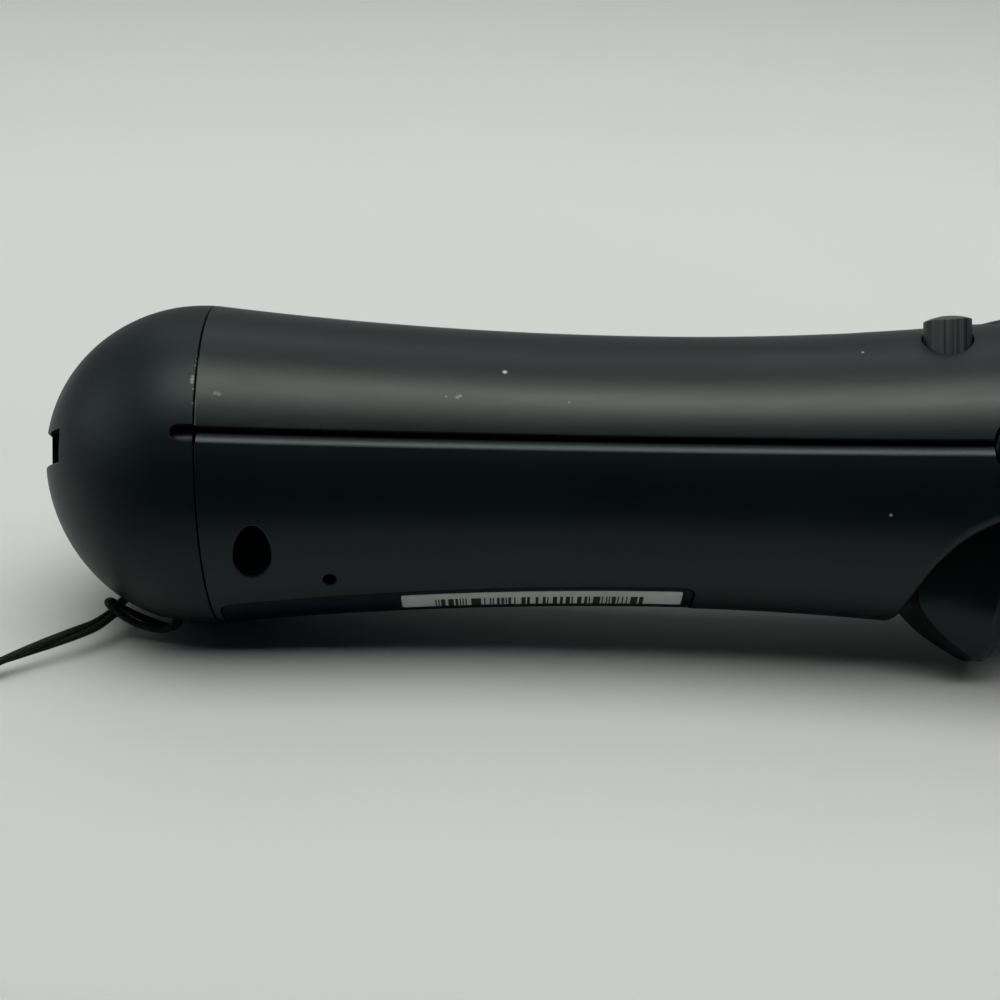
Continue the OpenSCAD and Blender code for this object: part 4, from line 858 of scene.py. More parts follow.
def mouthHole(skin):
    loop, wallNormal = mouthLoop()
    inward = unit(-loop * (0, 1, 1))
    inward = unit(inward - wallNormal * np.sum(inward * wallNormal, 1, keepdims=True))
    rings = softEdge(loop, normalsAt(loop, -1), inward, shells["mouthLip"], seatOnGrip, shells["mouthSteps"])
    addRings(skin, rings)
    addPaintedShade(skin, [rings[-1], loop + inward * triggerMouth["wall"]])
    return unroll(rings[0], -1)


def labelRecess(skin):
    h, gap, deep = backHoles, 2 * backHoles["labelGap"], backHoles["labelDeep"]
    flat = roundBoxLoop(h["labelLong"] + gap, h["labelWide"] + gap, h["labelCorner"],
                        h["labelX"] + h["labelLong"] / 2)
    loop = dropOnGrip(flat, -1)
    normals = normalsAt(loop, -1)
    rings = softEdge(loop, normals, -normals, h["labelLip"], seatOnGrip, steps=2)
    addRings(skin, rings)
    inner = dropOnGrip(flat, -1, deep)
    inner[:, 1] *= h["labelNarrow"]
    floor = seatOnGrip(inner) - normalsAt(inner, -1) * deep
    addPaintedShade(skin, [rings[-1], loop - normals * deep, floor])
    return unroll(rings[0], -1)


def makeBackShell():
    h = backHoles
    holes = [(straightHole, circleLoop(x, y, h["wellR"]), -1, shells["wellLip"], 1.0, h["wellFloor"],
              h["wellFloorR"]) for x, y in h["screws"]]
    pinhole = circleLoop(*h["reset"], h["resetR"], h["resetSteps"])
    holes += [(straightHole, pinhole, -1, h["resetLip"], 1.0, h["resetIn"]), (labelRecess,), (mouthHole,)]
    finishPiece("backShell", shellBody(-1, holes), shellBlack, stands=("back_shell",))


makeBackShell()
print("back shell made")

endCap = {
    "dockHigh": 4.1, "dockFloor": 1.4, "dockDeep": 4.2, "dockIsland": 4.9, "dockLip": 0.35, "dockDown": 0.7,
    "dockSpacing": 1.2, "slotDeep": 1.5, "lipShare": 0.5, "lipLeast": 0.01,
    "dockSteps": (9, 14, 10),  # beside the island, along it and round the sides
    "usbWide": 7.6, "usbHigh": 3.1, "usbDown": 0.35, "usbGap": 0.1, "usbCorner": 0.6,
    "contactY": 7.2, "contactWide": 1.8, "contactHigh": 3.0, "contactDown": 0.5, "contactCorner": 0.2,
    "strapHoles": (9.0, 29.0), "holeLong": 2.6, "holeWide": 5.0, "holeLip": 0.28, "holeDeep": 2.4,
    "lip": 0.2, "gap": 0.1, "rimIn": 0.93, "spacing": 1.1,
    "rimSteps": (15, 64, 56),  # round a groove's end, along the back and along the front
}
socket = {"front": 1.85, "back": 9.4, "sleeve": 0.4, "corner": 0.5, "tongueHigh": 0.8, "tongueCorner": 0.1,
          "tongueIn": 0.6, "sharp": 30}
plated = {"low": (0.42, 0.42, 0.43), "high": (0.55, 0.55, 0.56), "smooth": 0.25, "rough": 0.42, "grain": 0.0003,
          "Metallic": 1.0}
capArc = grip["capR"] * pi / 2
hair = 0.001  # parts two floors that meet at a step


def seatOnCap(points):
    r = grip["capR"]
    side = r / np.hypot(points[:, 1], points[:, 2])
    onDome = capCentre + unit(points - capCentre) * r
    onSkirt = points * np.column_stack([np.ones(len(points)), side, side])
    return np.where(points[:, :1] < r, onDome, onSkirt)


def capNormals(points):
    d = points - capCentre
    d[:, 0] = np.minimum(d[:, 0], 0)
    return unit(d)


def capFlat(points):  # distance from the apex and turn about the axis, as a flat disc
    r = grip["capR"]
    side = np.hypot(points[:, 1], points[:, 2])
    run = np.where(points[:, 0] < r, r * np.arctan2(side, r - points[:, 0]), capArc + points[:, 0] - r)
    turn = np.arctan2(points[:, 1], points[:, 2])
    return np.stack([run * np.cos(turn), run * np.sin(turn)], 1)


def capLift(places):
    r = grip["capR"]
    run, turn = np.hypot(places[:, 0], places[:, 1]), np.arctan2(places[:, 1], places[:, 0])
    a = np.minimum(run, capArc) / r
    side, x = r * np.sin(a), r - r * np.cos(a) + np.maximum(run - capArc, 0)
    points = np.stack([x, side * np.sin(turn), side * np.cos(turn)], 1)
    return points, capNormals(points)


def strapHole(skin, angle):
    a, c = radians(angle), endCap
    out, along = np.array([-sin(a), 0, -cos(a)]), np.array([-cos(a), 0, sin(a)])
    flat = pillLoop(c["holeWide"], c["holeLong"])
    high = np.sqrt(grip["capR"] ** 2 - flat[:, 0] ** 2 - flat[:, 1] ** 2)
    loop = capCentre + high[:, None] * out + flat[:, 1:] * along + flat[:, :1] * np.array([0, 1.0, 0])
    inward = np.tile(-out, (len(loop), 1))
    rings = softEdge(loop, capNormals(loop), inward, c["holeLip"], seatOnCap)
    addRings(skin, rings)
    addPaintedShade(skin, [rings[-1], loop + inward * c["holeDeep"]])
    return capFlat(rings[0])


def atDepth(x, flat):
    return np.column_stack([np.full(len(flat), x), flat])


def dockOutline(low, high, reach, step):  # flat ends, rounded sides, and a point either side of each step
    beside, over, around = endCap["dockSteps"]

    def across(half):
        side = np.linspace(step + hair, half, beside)
        return np.concatenate([-side[::-1], np.linspace(-step + hair, step - hair, over), side])
    highY, lowY = sqrt(reach ** 2 - high ** 2), sqrt(reach ** 2 - low ** 2)
    turns = np.linspace(atan2(high, highY), atan2(low, lowY), around)
    flat = [(y, high) for y in across(highY)] + [(reach * cos(a), reach * sin(a)) for a in turns[1:]]
    flat += [(y, low) for y in across(lowY)[::-1][1:]]
    return np.array(flat + [(-reach * cos(a), reach * sin(a)) for a in turns[::-1][1:-1]])


def dockRecess(skin):  # slot across the tip, shallow round the socket and deep beside it
    c, r, step, parting = endCap, grip["capR"], endCap["dockIsland"], grip["parting"]
    low, high = (parting - c["dockDown"] + s * c["dockHigh"] / 2 for s in (-1, 1))
    flat = dockOutline(low, high, sqrt(r ** 2 - (r - c["dockDeep"]) ** 2), step)
    x = r - np.sqrt(r ** 2 - flat[:, 0] ** 2 - flat[:, 1] ** 2)
    loop = np.column_stack([x, flat])
    floorX = np.where(np.abs(flat[:, 0]) < step, c["dockFloor"], c["dockDeep"])
    lip = np.clip((floorX - x) * c["lipShare"], c["lipLeast"], c["dockLip"])
    rings = softEdge(loop, capNormals(loop), np.tile([1.0, 0, 0], (len(loop), 1)), lip, seatOnCap)
    addRings(skin, rings)
    first = len(skin["faces"])
    addRings(skin, [rings[-1], np.column_stack([floorX, flat])])
    usb = roundBoxLoop(c["usbWide"] + 2 * c["usbGap"], c["usbHigh"] + 2 * c["usbGap"], c["usbCorner"], 0,
                       parting - c["usbDown"])
    floors = [(flat[np.abs(flat[:, 0]) < step], usb, c["dockFloor"])]
    for s in (1, -1):
        contact = roundBoxLoop(c["contactWide"], c["contactHigh"], c["contactCorner"], s * c["contactY"],
                               parting - c["contactDown"])
        floors.append((flat[s * flat[:, 0] > step], contact, c["dockDeep"]))
        edge = np.array([(s * (step - hair), high), (s * (step - hair), low)])
        addRings(skin, [atDepth(c["dockFloor"], edge), atDepth(c["dockDeep"], edge + (s * 2 * hair, 0))],
                 closed=False)
    for outline, slot, depth in floors:
        off = outline - outline.mean(0)
        turn = np.argsort(np.arctan2(off[:, 1], off[:, 0]))
        floorSkin = newSkin()
        addRegion(floorSkin, [outline[turn], slot], c["dockSpacing"],
                  lambda places, depth=depth: (atDepth(depth, places), None))
        for face in floorSkin["faces"]:
            addFace(skin, [corner(skin, floorSkin["points"][i]) for i in face])
        addRings(skin, [atDepth(depth, slot), atDepth(depth + c["slotDeep"], slot)])
    # the recess's walls and floors take the painted shade
    skin["deep"].update(range(first, len(skin["faces"])))
    return capFlat(rings[0])


def capRim():  # open edge at the seam with the two rounded ends of the groove
    tail, half, plane, r = grip["grooveTail"], grip["grooveStep"], grip["parting"], grip["capR"]
    edge = seamX - endCap["gap"] - endCap["lip"]
    bends, backSteps, frontSteps = endCap["rimSteps"]
    turn = np.linspace(pi / 2, 3 * pi / 2, bends)
    notch = np.stack([seamX - tail + half + half * np.cos(turn), plane + half * np.sin(turn)], 1)
    middle = (edge + notch[0, 0]) / 2
    notch = np.vstack([[edge, plane + half], [middle, plane + half], notch, [middle, plane - half],
                       [edge, plane - half]])
    y = np.array([sqrt((r if x >= r else sqrt(r ** 2 - (r - x) ** 2)) ** 2 - z ** 2) for x, z in notch])
    right = np.column_stack([notch[:, 0], y, notch[:, 1]])
    left = right * (1, -1, 1)

    def seamArc(start, end, n):
        arc = np.linspace(start, end, n)
        return np.column_stack([0 * arc + edge, r * np.sin(arc), r * np.cos(arc)])
    a, b = atan2(right[-1, 1], right[-1, 2]), atan2(left[0, 1], left[0, 2])
    return right, seamArc(a, 2 * pi - a, backSteps), left, seamArc(b, -b, frontSteps)


def sinkCap(skin):  # the flatter dome, points and normals
    fall = grip["sinkFall"]
    for i, n in enumerate(skin["normals"]):
        if n is not None:
            share = max(float(n @ sinkWay), 0)
            lean = fall * grip["domeSink"] * share ** (fall - 1) / grip["capR"]
            skin["normals"][i] = unit(n + lean * (sinkWay - share * n))
    skin["points"] = sinkDome(skin["points"]).tolist()


def makeEndCap():
    skin, lip, r = newSkin(), endCap["lip"], grip["capR"]
    right, back, left, front = capRim()
    for arc in (back, front):
        rings = [arc]
        for k in (0.33, 0.67, 1):
            x = seamX - endCap["gap"] - (1 - k) ** 2 * lip
            scale = ((1 - k ** 2) * r + k ** 2 * (r - lip)) / r
            rings.append(arc * (0, scale, scale) + (x, 0, 0))
        rings.append(rings[-1] * (1, endCap["rimIn"], endCap["rimIn"]))
        addRings(skin, rings, closed=False)
    for tail in (right, left):
        deep = (r - grip["grooveDeep"]) / np.hypot(tail[:, 1], tail[:, 2])
        addRings(skin, [tail, tail * np.column_stack([0 * deep + 1, deep, deep])], closed=False, capped=(1,))
    outer = np.vstack([capFlat(right), capFlat(back)[1:-1], capFlat(left)[::-1], capFlat(front)[1:-1]])
    loops = [outer] + [strapHole(skin, a) for a in endCap["strapHoles"]] + [dockRecess(skin)]
    addRegion(skin, loops, endCap["spacing"], capLift)
    sinkCap(skin)
    finishPiece("endCap", skin, capBlack, stands=("end_cap",))


def makeSocket():  # plated sleeve and tongue, just behind the recess's floor
    c, s, skin = endCap, socket, newSkin()
    outer = roundBoxLoop(c["usbWide"], c["usbHigh"], s["corner"])
    inner = outer * (1 - 2 * s["sleeve"] / c["usbWide"], 1 - 2 * s["sleeve"] / c["usbHigh"])
    tongue = roundBoxLoop(c["usbWide"] / 2, s["tongueHigh"], s["tongueCorner"])
    outer, inner, tongue = (loop + (0, grip["parting"] - c["usbDown"]) for loop in (outer, inner, tongue))
    front, back, floor = s["front"], s["back"], s["back"] - s["sleeve"]
    sleeve = [atDepth(back, outer), atDepth(front, outer), atDepth(front, inner), atDepth(floor, inner)]
    addRings(skin, sleeve, capped=(0, -1))
    addRings(skin, [atDepth(front + s["tongueIn"], tongue), atDepth(floor, tongue)], capped=(0,))
    finishPiece("plugSocket", skin, plainFinish("socketSteel", **plated), stands=("usb_socket",),
                sharp=s["sharp"])


makeEndCap()
makeSocket()
print("end cap and its socket made")

triggerShape = {
    "pivot": (138.6, -9.0), "heelR": 34.2, "heelLow": -11.0, "top": -4.9, "bossR": 3.2, "bossHalf": 8.0,
    "bossFlat": 5.2, "bossFade": (7, 3),
    "belly": [(104.5, -12.6), (104.7, -14.8), (105.1, -16.2), (106.1, -17.5), (107.5, -18.95), (109.1, -20.2),
              (110.8, -21.35), (112.0, -22.1), (112.6, -22.34)],
    "finger": [(113.0, -22.32), (113.9, -21.6), (114.7, -20.0), (115.2, -18.6), (115.9, -16.1), (116.8, -13.6),
               (118.3, -11.8), (120.5, -10.75), (122.9, -10.4), (125.7, -11.0), (128.5, -12.6), (131.6, -14.9)],
    "bellyStep": 0.4, "fingerStep": 0.5, "heelSteps": 8, "bossSteps": 12, "backSteps": (6, 27),
    "halfWidths": ((-22.4, 5.3), (-21.3, 6.0), (-20.2, 6.4), (-19.0, 7.2), (-17.5, 7.9), (-16.0, 8.3),
                   (-13.0, 8.9), (-9.6, 9.6), (0.0, 10.4)),
    "widthBlur": 1.2, "blurSteps": 9, "closerClear": 0.9,
    "flank": (6.0, 2.1),  # how far in from the outer edge the flank swells, and how gently
    "bevel": (2.3, 2.1, 1.1),  # finger side: how far in, how deep, how curved
    "inside": 0.8, "spacing": 0.75, "rimRings": 9, "sharp": 40,
    "closer": ((0.15, 0.5, 1.0, 1.6, 2.4, 3.3, 4.2), (0.7, 1.4, 2.1, 2.28, 2.4), (0.03, 0.15, 0.4)),
}


def roundPoints(x, z, r, start, end, n):
    return [(x + r * cos(a), z + r * sin(a)) for a in np.linspace(start, end, n)]


def triggerOutline():  # side view in three stretches: outer face, finger side and what the shell hides
    t = triggerShape
    px, pz = t["pivot"]
    topA, lowA = pi - asin((t["top"] - pz) / t["heelR"]), pi + asin((pz - t["heelLow"]) / t["heelR"])
    heel = roundPoints(px, pz, t["heelR"], topA, lowA, t["heelSteps"])
    outer = np.vstack([heel, smoothRun(t["belly"], t["bellyStep"])])
    finger = smoothRun(t["finger"], t["fingerStep"])
    boss = roundPoints(px, pz, t["bossR"], -pi / 2, pi / 2, t["bossSteps"])
    ends = [boss[-1], (px - t["bossFlat"], t["top"]), tuple(outer[0])]
    back = [np.linspace(a, b, n)[1:] for a, b, n in zip(ends, ends[1:], t["backSteps"])]
    return outer, finger, np.vstack([boss, back[0], back[1][:-1]])


def gapTo(line, points):  # distance from each point to a run of straight stretches
    a, step = line[:-1], np.diff(line, axis=0)
    gaps = []
    for p in points:
        k = np.clip(np.sum((p - a) * step, 1) / np.sum(step ** 2, 1), 0, 1)
        gaps.append(np.min(np.linalg.norm(a + step * k[:, None] - p, axis=1)))
    return np.array(gaps)


def closerPoints(lines, rim):  # rows of points near the edges, where the flank bends most
    rows, least = [], triggerShape["closerClear"]
    for line, offsets in zip(lines, triggerShape["closer"]):
        along = np.gradient(line, axis=0)
        inner = unit(np.stack([-along[:, 1], along[:, 0]], 1))
        for offset in offsets:
            moved = line + inner * offset
            clear = np.min([gapTo(other, moved) for other in lines], 0) > least * offset
            rows.append(moved[insideLoop(rim, moved) & clear])
    return np.vstack(rows)


def makeTrigger():
    t = triggerShape
    outer, finger, inside = triggerOutline()
    rim = np.vstack([outer, finger, inside])
    lines = [np.vstack([outer, finger[:1]]), np.vstack([outer[-1:], finger]),
             np.vstack([finger[-1:], inside, outer[:1]])]
    zs, ws = np.array(t["halfWidths"]).T
    (swell, gentle), (bevelIn, bevelDeep, bevelCurve) = t["flank"], t["bevel"]
    blur = np.linspace(-t["widthBlur"], t["widthBlur"], t["blurSteps"])

    def halfWidth(points):
        w = np.mean([np.interp(points[:, 1] + d, zs, ws) for d in blur], 0)
        before, fade = t["bossFade"]
        boss = np.clip((points[:, 0] - t["pivot"][0] + before) / fade, 0, 1)
        return w * (1 - boss) + np.minimum(w, t["bossHalf"]) * boss

    def flank(hand):
        def lift(places):
            fromOuter, fromFinger, fromInside = (gapTo(line, places) for line in lines)
            r, d = swell * gentle, swell - np.minimum(fromOuter, swell)
            drop = r - np.sqrt(r ** 2 - d ** 2)
            drop = np.maximum(drop, bevelDeep * (1 - np.minimum(fromFinger / bevelIn, 1)) ** bevelCurve)
            d = t["inside"] - np.minimum(fromInside, t["inside"])
            drop = np.maximum(drop, t["inside"] - np.sqrt(t["inside"] ** 2 - d ** 2))
            return np.stack([places[:, 0], hand * (halfWidth(places) - drop), places[:, 1]], 1), None
        return lift

    skin, extra = newSkin(), closerPoints(lines, rim)
    for hand in (-1, 1):
        addRegion(skin, [rim], t["spacing"], flank(hand), extra)
    low, high = flank(-1)(rim)[0], flank(1)(rim)[0]
    addRings(skin, [low + (high - low) * k for k in np.linspace(0, 1, t["rimRings"])])
    finishPiece("trigger", skin, triggerBlack, body="trigger", stands=("trigger",),
                sharp=t["sharp"])


makeTrigger()
print("trigger made")

turnedPaintedSheenLook = {
    "gloss": 0.3, "streak": 0.5, "streakRough": 0.7, "streakFrom": (0.38, 0.66), "paintedTopFrom": (0.55, 0.75),
    # furrow and ridge tones are painted shade and painted highlight on the streaks; top is a painted lit tone for
    # the upward face
    "furrowShade": (0.002, 0.005, 0.007), "ridgeGleam": (0.046, 0.051, 0.053),
    "top": (0.05, 0.051, 0.044), "smooth": 0.36, "rough": 0.5, "relief": 0.25, "deep": 0.00008,
}


def turnedPaintedSheenCap(name, look):  # fine upright streaks on the side of a round button, a real bump with painted highlights on the ridges and painted shade in the furrows; satin top, painted lighter where it faces up, as if lit from above
    material, tree, shader = startMaterial(name, look["gloss"])
    across = addNode(tree, "CombineXYZ", {0: wandPlace(tree, 0), 1: wandPlace(tree, 1)}).outputs[0]
    streak = cloud(tree, across, look["streak"], rough=look["streakRough"])
    normal = addNode(tree, "NewGeometry").outputs["Normal"]
    # painted light: the more the surface faces up, the lighter its tone, as if lit from above
    facing = vectorCalc(tree, "DOT_PRODUCT", normal, wandTurn[:, 2])
    top = spread(tree, facing, 0.0, 1.0, *look["paintedTopFrom"])
    # painted highlight on the streaks' ridges and painted shade in their furrows
    side = between(tree, spread(tree, streak, 0.0, 1.0, *look["streakFrom"]), look["furrowShade"], look["ridgeGleam"])
    feed(tree, between(tree, top, side, look["top"]), shader, "Base Color")
    feed(tree, spread(tree, streak, look["smooth"], look["rough"]), shader, "Roughness")
    feedBump(tree, shader, product(tree, streak, calc(tree, "SUBTRACT", 1.0, top)), look["relief"], look["deep"])
    return material


def upright(flat, height):
    return np.column_stack([flat, height])


def buttonCap(name, node, outline, top, base, fillet, insets, material=buttonBlack, place=upright, bends=7,
              sharp=40):
    rings = [place(outline(0.0), np.full(len(outline(0.0)), base))]
    for a in np.linspace(0, pi / 2, bends):
        flat = outline(fillet * (1 - cos(a)))
        rings.append(place(flat, top(flat) - fillet * (1 - sin(a))))
    for inset in insets:
        flat = outline(inset)
        rings.append(place(flat, top(flat)))
    skin = newSkin()
    addRings(skin, rings, capped=(-1, 0))
    finishPiece(name, skin, material, body=node, stands=(node,), sharp=sharp)


def makeFaceButtons():
    b, turned = frontButtons, turnedPaintedSheenCap("turnedPaintedSheenBlack", turnedPaintedSheenLook)
    tilt, lean, dome = radians(b["faceTilt"]), radians(b["faceLean"]), b["faceDome"]
    for i, (x, s) in enumerate(zip(b["faceX"], b["faceSide"]), 1):
        cx = x + (1 if x < b["mainX"] else -1) * dome * sin(lean)
        cy, cz = s * b["faceY"] - s * dome * sin(tilt), b["faceTop"] - dome * cos(tilt) * cos(lean)

        def faceTop(flat, cx=cx, cy=cy, cz=cz):
            return cz + np.sqrt(dome ** 2 - (flat[:, 0] - cx) ** 2 - (flat[:, 1] - cy) ** 2)

        def faceOutline(inset, x=x, y=s * b["faceY"]):
            return circleLoop(x, y, b["faceR"] - inset, b["faceSteps"])
        buttonCap("faceButton%d" % i, "face_button_%d" % i, faceOutline, faceTop, b["faceBase"], b["faceFillet"],
                  b["faceInsets"], turned)


def makeMiddleButtons():
    b = frontButtons

    def mainTop(flat):
        sunk = b["mainDrop"] * (2 * (flat[:, 0] - b["mainX"]) / b["mainLong"]) ** 2
        return np.sqrt((gripRadius(flat[:, 0]) + b["mainProud"] - sunk) ** 2 - flat[:, 1] ** 2)

    def mainOutline(inset):
        return pillLoop(b["mainLong"] - 2 * inset, b["mainWide"] - 2 * inset, b["mainX"])

    def homeTop(flat):
        return np.sqrt((gripRadius(flat[:, 0]) + b["homeProud"]) ** 2 - flat[:, 1] ** 2)

    def homeOutline(inset):
        return circleLoop(b["homeX"], 0, b["homeR"] - inset, b["homeSteps"])
    buttonCap("mainButton", "main_button", mainOutline, mainTop, b["mainBase"], b["mainFillet"], b["mainInsets"],
              frontBlack)
    buttonCap("homeButton", "home_button", homeOutline, homeTop, b["homeBase"], b["homeFillet"], b["homeInsets"])


def makeSideButtons():
    b = sideButton

    def sideTop(flat):
        return np.sqrt((gripRadius(flat[:, 0]) - b["sunk"]) ** 2 - flat[:, 1] ** 2)

    def sideOutline(inset):
        return pillLoop(b["long"] - 2 * inset, b["high"] - 2 * inset, b["x"], grip["parting"])
    for hand, word in ((-1, "left"), (1, "right")):
        def sidePlace(flat, height, hand=hand):
            return np.column_stack([flat[:, 0], hand * height, flat[:, 1]])
        buttonCap(word + "SideButton", word + "_side_button", sideOutline, sideTop, b["base"], b["fillet"],
                  b["insets"], place=sidePlace)


makeFaceButtons()
makeMiddleButtons()
makeSideButtons()
print("buttons made")


def lathe(name, profile, material, stands, turns=128, sharp=40):
    skin = newSkin()
    turn = np.linspace(0, 2 * pi, turns, endpoint=False)
    addRings(skin, [np.column_stack([np.full(turns, x), r * np.sin(turn), r * np.cos(turn)]) for x, r in profile])
    finishPiece(name, skin, material, stands=stands, sharp=sharp)


ball = {
    "seamW": 0.25, "seamIn": 0.18,  # fine moulding line round its middle
    "mouth": ((0.02, -2.2), (0.02, -0.5), (0.15, -0.1)), "start": 0.02, "rows": 80, "turns": 160, "sharp": 60,
}
milkWhite = {
    "tones": ((0.72, 0.73, 0.72), (0.76, 0.755, 0.74)), "rough": (0.5, 0.62), "sizes": (0.012, 0.006, 0.00025),
    "bump": (2.0, 0.12, 0.00006), "gloss": 0.35, "Subsurface Weight": 0.35, "Subsurface Scale": 0.004,
}
collar = {  # along the wand and outwards, from the end of the neck and from the ball's mouth
    "neck": ((0.02, -3), (0.02, -0.3), (0.12, -0.08), (0.35, -0.1), (1.3, -0.85), (1.45, -1.05), (1.6, -1.02)),
    "mouth": ((-0.4, 0.25), (-0.12, 0.05), (-0.02, -0.1), (-0.02, -2.5)),
}


def makeBall():
    r, m = grip["ballR"], grip["ballMouth"]
    profile = [(ballFaceX + x, m + out) for x, out in ball["mouth"]]
    for a in np.linspace(asin(m / r) + ball["start"], pi, ball["rows"]):
        s = ball["seamIn"] * np.exp(-((a - pi / 2) * r / ball["seamW"]) ** 2)
        profile.append((ballX - (r - s) * cos(a), max((r - s) * sin(a), 0.0)))
    white = fineFinish("ballWhite", **milkWhite)
    lathe("lightBall", profile, white, ("light_ball",), ball["turns"], ball["sharp"])
    profile = [(neckX + x, grip["neckR"] + out) for x, out in collar["neck"]]
    profile += [(ballFaceX + x, m + out) for x, out in collar["mouth"]]
    lathe("neckCollar", profile, shellBlack, ("neck_collar",))


makeBall()
print("ball and collar made")

labels = {
    "labelSink": 0.1, "labelUnder": 0.3, "spacing": 1.2,
    "stickerX": 44.0, "stickerY": -5.2, "stickerLong": 33.1, "stickerWide": 3.8, "stickerCorner": 0.3,
    "stickerSink": 0.02,
    "barsX": (47.7, 72.6), "barsY": (-5.8, -2.8), "barWide": 0.17, "barShare": 0.42, "ink": (0.004, 0.0045, 0.005),
}
navyFilm = {
    "tones": ((0.001, 0.0032, 0.0068), (0.0018, 0.0044, 0.009)), "rough": (0.3, 0.42),
    "sizes": (0.004, 0.003, 0.0005), "bump": (3.0, 0.08, 0.00005), "gloss": 0.075,
    "Specular Tint": (0.66, 0.86, 1.0, 1.0),
}
whitePaper = {
    "tones": ((0.4, 0.42, 0.41), (0.47, 0.48, 0.465)), "rough": (0.5, 0.65),
    "sizes": (0.002, 0.001, 0.0002), "bump": (3.0, 0.1, 0.00003), "gloss": 0.3,
}


def patch(name, long, wide, cornerR, at, sink, under, material, stands):  # thin film on the back
    skin = newSkin()
    flat = roundBoxLoop(long, wide, cornerR, at[0] + long / 2, at[1])
    top, low = dropOnGrip(flat, -1, sink), dropOnGrip(flat, -1, under)
    addRings(skin, [top, low])
    addRegion(skin, [unroll(top, -1)], labels["spacing"], gripLift(-1, sink))
    finishPiece(name, skin, material, stands=stands)


def printBars(tree, paper):  # plain bars that stand for nothing
    x, y = wandPlace(tree, 0), wandPlace(tree, 1)
    cell = calc(tree, "FLOOR", calc(tree, "DIVIDE", x, labels["barWide"]))
    chance = addNode(tree, "TexWhiteNoise", {"W": cell}, noise_dimensions="1D").outputs["Value"]
    ink = product(tree, calc(tree, "GREATER_THAN", chance, labels["barShare"]),
                  within(tree, x, *labels["barsX"]), within(tree, y, *labels["barsY"]))
    return between(tree, ink, paper, labels["ink"])


def makeLabels():
    h, s = backHoles, labels
    film = fineFinish("labelFilm", **navyFilm)
    paper = fineFinish("stickerPaper", over=printBars, **whitePaper)
    patch("labelStrip", h["labelLong"], h["labelWide"], h["labelCorner"], (h["labelX"], 0), s["labelSink"],
          s["labelUnder"], film, ("label_strip",))
    patch("whiteSticker", s["stickerLong"], s["stickerWide"], s["stickerCorner"], (s["stickerX"], s["stickerY"]),
          s["stickerSink"], s["labelSink"], paper, ("bar_sticker",))


makeLabels()
print("labels made")

# finishes of the pieces that stay as they come from the frame: two tones, then how smooth and how rough
insideLooks = {
    "board": ("boardGreen", (0.01, 0.06, 0.025), (0.016, 0.085, 0.035), 0.3, 0.45),
    "led": ("ledWhite", (0.75, 0.72, 0.5), (0.8, 0.78, 0.6), 0.2, 0.3),
    "flex": ("flexAmber", (0.3, 0.1, 0.015), (0.4, 0.15, 0.02), 0.25, 0.4),
    "mat_rubber": ("matRubber", (0.12, 0.12, 0.125), (0.15, 0.15, 0.155), 0.6, 0.75),
    "chip": ("chipBlack", (0.012, 0.012, 0.013), (0.02, 0.02, 0.021), 0.4, 0.55),
    "lens": ("lensRed", (0.1, 0.012, 0.01), (0.14, 0.016, 0.012), 0.12, 0.2),
    "cell": ("cellSleeve", (0.03, 0.06, 0.16), (0.04, 0.08, 0.2), 0.25, 0.35),
    "lead": ("leadRed", (0.3, 0.015, 0.012), (0.36, 0.02, 0.016), 0.35, 0.5),
    "plug": ("plugCream", (0.6, 0.57, 0.47), (0.66, 0.62, 0.52), 0.4, 0.55),
    "pad": ("padFoam", (0.05, 0.05, 0.05), (0.09, 0.09, 0.09), 0.8, 0.95),
    "tie": ("tieBlack", (0.012, 0.012, 0.013), (0.02, 0.02, 0.02), 0.5, 0.65),
}
gold = {**plated, "low": (0.7, 0.5, 0.2), "high": (0.8, 0.58, 0.26), "smooth": 0.2, "rough": 0.32}
clearLook = {"low": (0.8, 0.81, 0.8), "high": (0.86, 0.86, 0.85), "smooth": 0.1, "rough": 0.2,
             "Transmission Weight": 0.6}


def dressInside():
    finishes = {slot: plainFinish(*look) for slot, look in insideLooks.items()}
    finishes.update({
        "shell_grey": frontBlack, "shell_black": shellBlack, "button_black": buttonBlack,
        "ball_white": fineFinish("guideWhite", **milkWhite), "steel": plainFinish("screwSteel", **plated),
        "contact": plainFinish("contactGold", **gold),
        "clear": plainFinish("clearGuide", **clearLook)})
    for row in frame["record"]["subparts"]:
        carried = frame["nodes"][row["node"]]
        if row["material_slot"] in finishes:
            carried.data.materials.clear()
            carried.data.materials.append(finishes[row["material_slot"]])


dressInside()
print("carried nodes dressed")

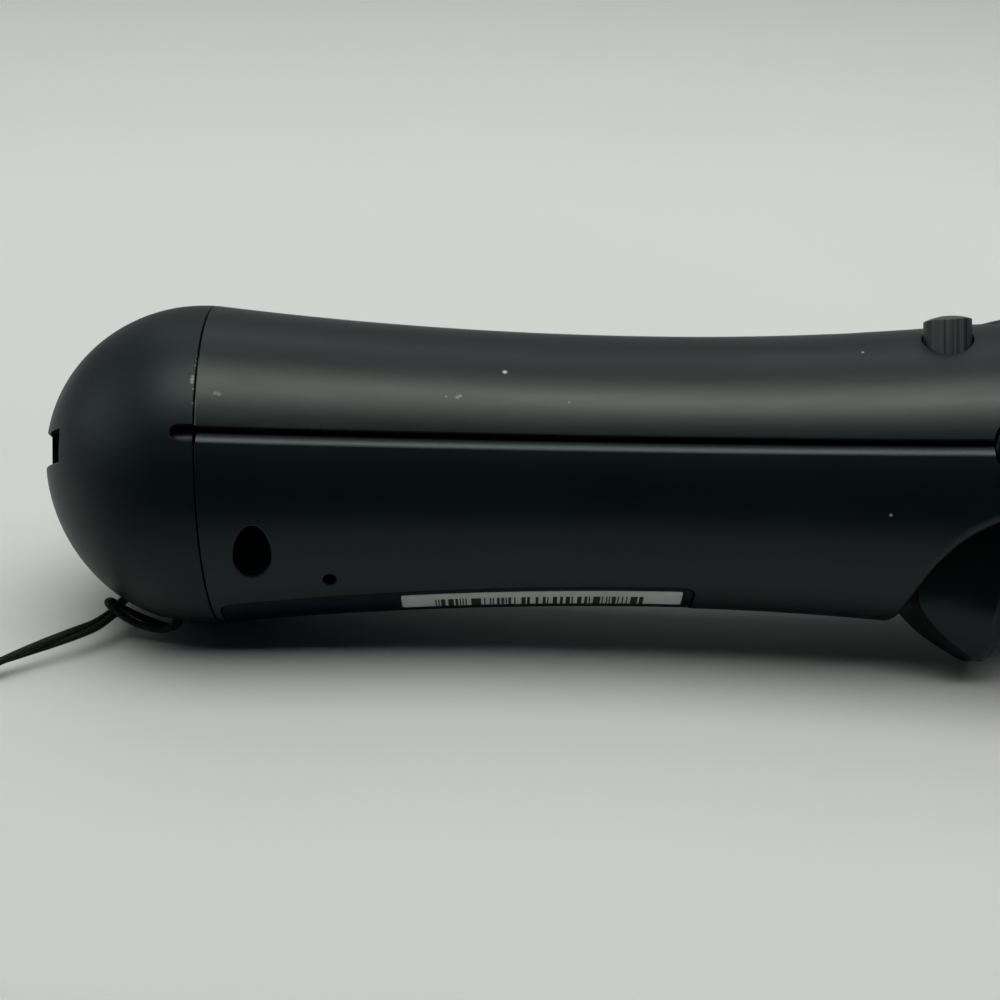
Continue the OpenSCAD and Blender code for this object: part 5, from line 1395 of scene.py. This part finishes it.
# floor and light
stage = {
    # near and far floor tones are painted light: darker near the camera, paler further back, standing in for how
    # the lamps' light falls across the table
    "size": 6.0, "near": (0.545, 0.556, 0.545), "far": (0.675, 0.685, 0.67), "fade": (-0.1, 0.2),
    "gloss": 0.2, "drift": 0.02, "driftSize": 0.2, "rough": (0.55, 0.65), "roughSize": 0.05,
    "lamps": (  # place, wide, tall, watts, tone, lights surfaces, shows as a gleam
        ("softBox", (-0.02, -0.1, 0.85), 1.15, 0.75, 8.4, (1.0, 1.0, 0.975), True, False),
        ("tubeLamp", (-0.02, -0.09, 0.8), 0.8, 0.22, 6.7, (0.97, 0.975, 0.895), False, True),
        ("backLamp", (0.0, 0.7, 0.95), 1.4, 0.5, 2.3, (0.98, 1.0, 0.98), True, True),
        ("leftLamp", (-0.85, -0.05, 0.4), 0.7, 0.5, 1.6, (0.98, 1.0, 0.98), False, True)),
    "aim": (-0.03, 0.0, 0.02),
    "roomFront": (0.008, 0.015, 0.019), "roomBack": (0.28, 0.29, 0.285), "roomSeen": (0.6, 0.61, 0.59),
    "roomTurn": (-0.2, 0.5),
    "card": ((-0.5, -0.7), (0.4, -0.072)), "cardUp": 0.0003,  # black card out of view, for the lower side's mirror
    "cardTones": ((0.002, 0.002, 0.002), (0.003, 0.003, 0.003)), "cardRough": (0.7, 0.8),
}


def flatPlane(name, low, high, z, material):
    (x0, y0), (x1, y1) = low, high
    mesh = bpy.data.meshes.new(name)
    mesh.from_pydata([(x0, y0, z), (x1, y0, z), (x1, y1, z), (x0, y1, z)], [], [(0, 1, 2, 3)])
    mesh.materials.append(material)
    plane = bpy.data.objects.new(name, mesh)
    bpy.context.collection.objects.link(plane)
    return plane


def makeFloor():
    material, tree, shader = startMaterial("tableWhite", stage["gloss"])
    place, drift = objectPlace(tree), stage["drift"]
    depth = addNode(tree, "SeparateXYZ", {0: place}).outputs[1]
    depth = calc(tree, "ADD", depth, spread(tree, cloud(tree, place, stage["driftSize"]), -drift, drift))
    # painted light: the floor's tone fades from near to far, with a random drift
    tone = between(tree, spread(tree, depth, 0.0, 1.0, *stage["fade"]), stage["near"], stage["far"])
    feed(tree, tone, shader, "Base Color")
    feed(tree, spread(tree, cloud(tree, place, stage["roughSize"]), *stage["rough"]), shader, "Roughness")
    s, z = stage["size"], cadBox[0][2]
    flatPlane("floor", (-s, -s), (s, s), z, material)
    black = plainFinish("cardBlack", *stage["cardTones"], *stage["cardRough"], gloss=0.0)
    card = flatPlane("blackCard", *stage["card"], z + stage["cardUp"], black)
    card.visible_camera = card.visible_diffuse = card.visible_shadow = False


def makeLamps():
    for name, place, wide, tall, power, tone, lights, gleams in stage["lamps"]:
        lamp = bpy.data.lights.new(name, "AREA")
        lamp.shape, lamp.size, lamp.size_y, lamp.energy, lamp.color = "RECTANGLE", wide, tall, power, tone
        holder = bpy.data.objects.new(name, lamp)
        holder.location, holder.visible_diffuse, holder.visible_glossy = place, lights, gleams
        holder.rotation_euler = (Vector(stage["aim"]) - Vector(place)).to_track_quat("-Z", "Y").to_euler()
        bpy.context.collection.objects.link(holder)


def makeRoom():  # dark towards the photographer, pale behind the wand
    room = bpy.data.worlds.new("room")
    room.use_nodes = True
    tree = room.node_tree
    way = addNode(tree, "SeparateXYZ", {0: addNode(tree, "TexCoord").outputs["Generated"]})
    back = spread(tree, way.outputs[1], 0.0, 1.0, *stage["roomTurn"])
    seen = addNode(tree, "LightPath").outputs["Is Camera Ray"]
    tone = between(tree, seen, between(tree, back, stage["roomFront"], stage["roomBack"]), stage["roomSeen"])
    feed(tree, tone, tree.nodes["Background"], "Color")
    bpy.context.scene.world = room


makeFloor()
makeLamps()
makeRoom()
bpy.context.scene.view_settings.view_transform = "Standard"
print("floor and light set")
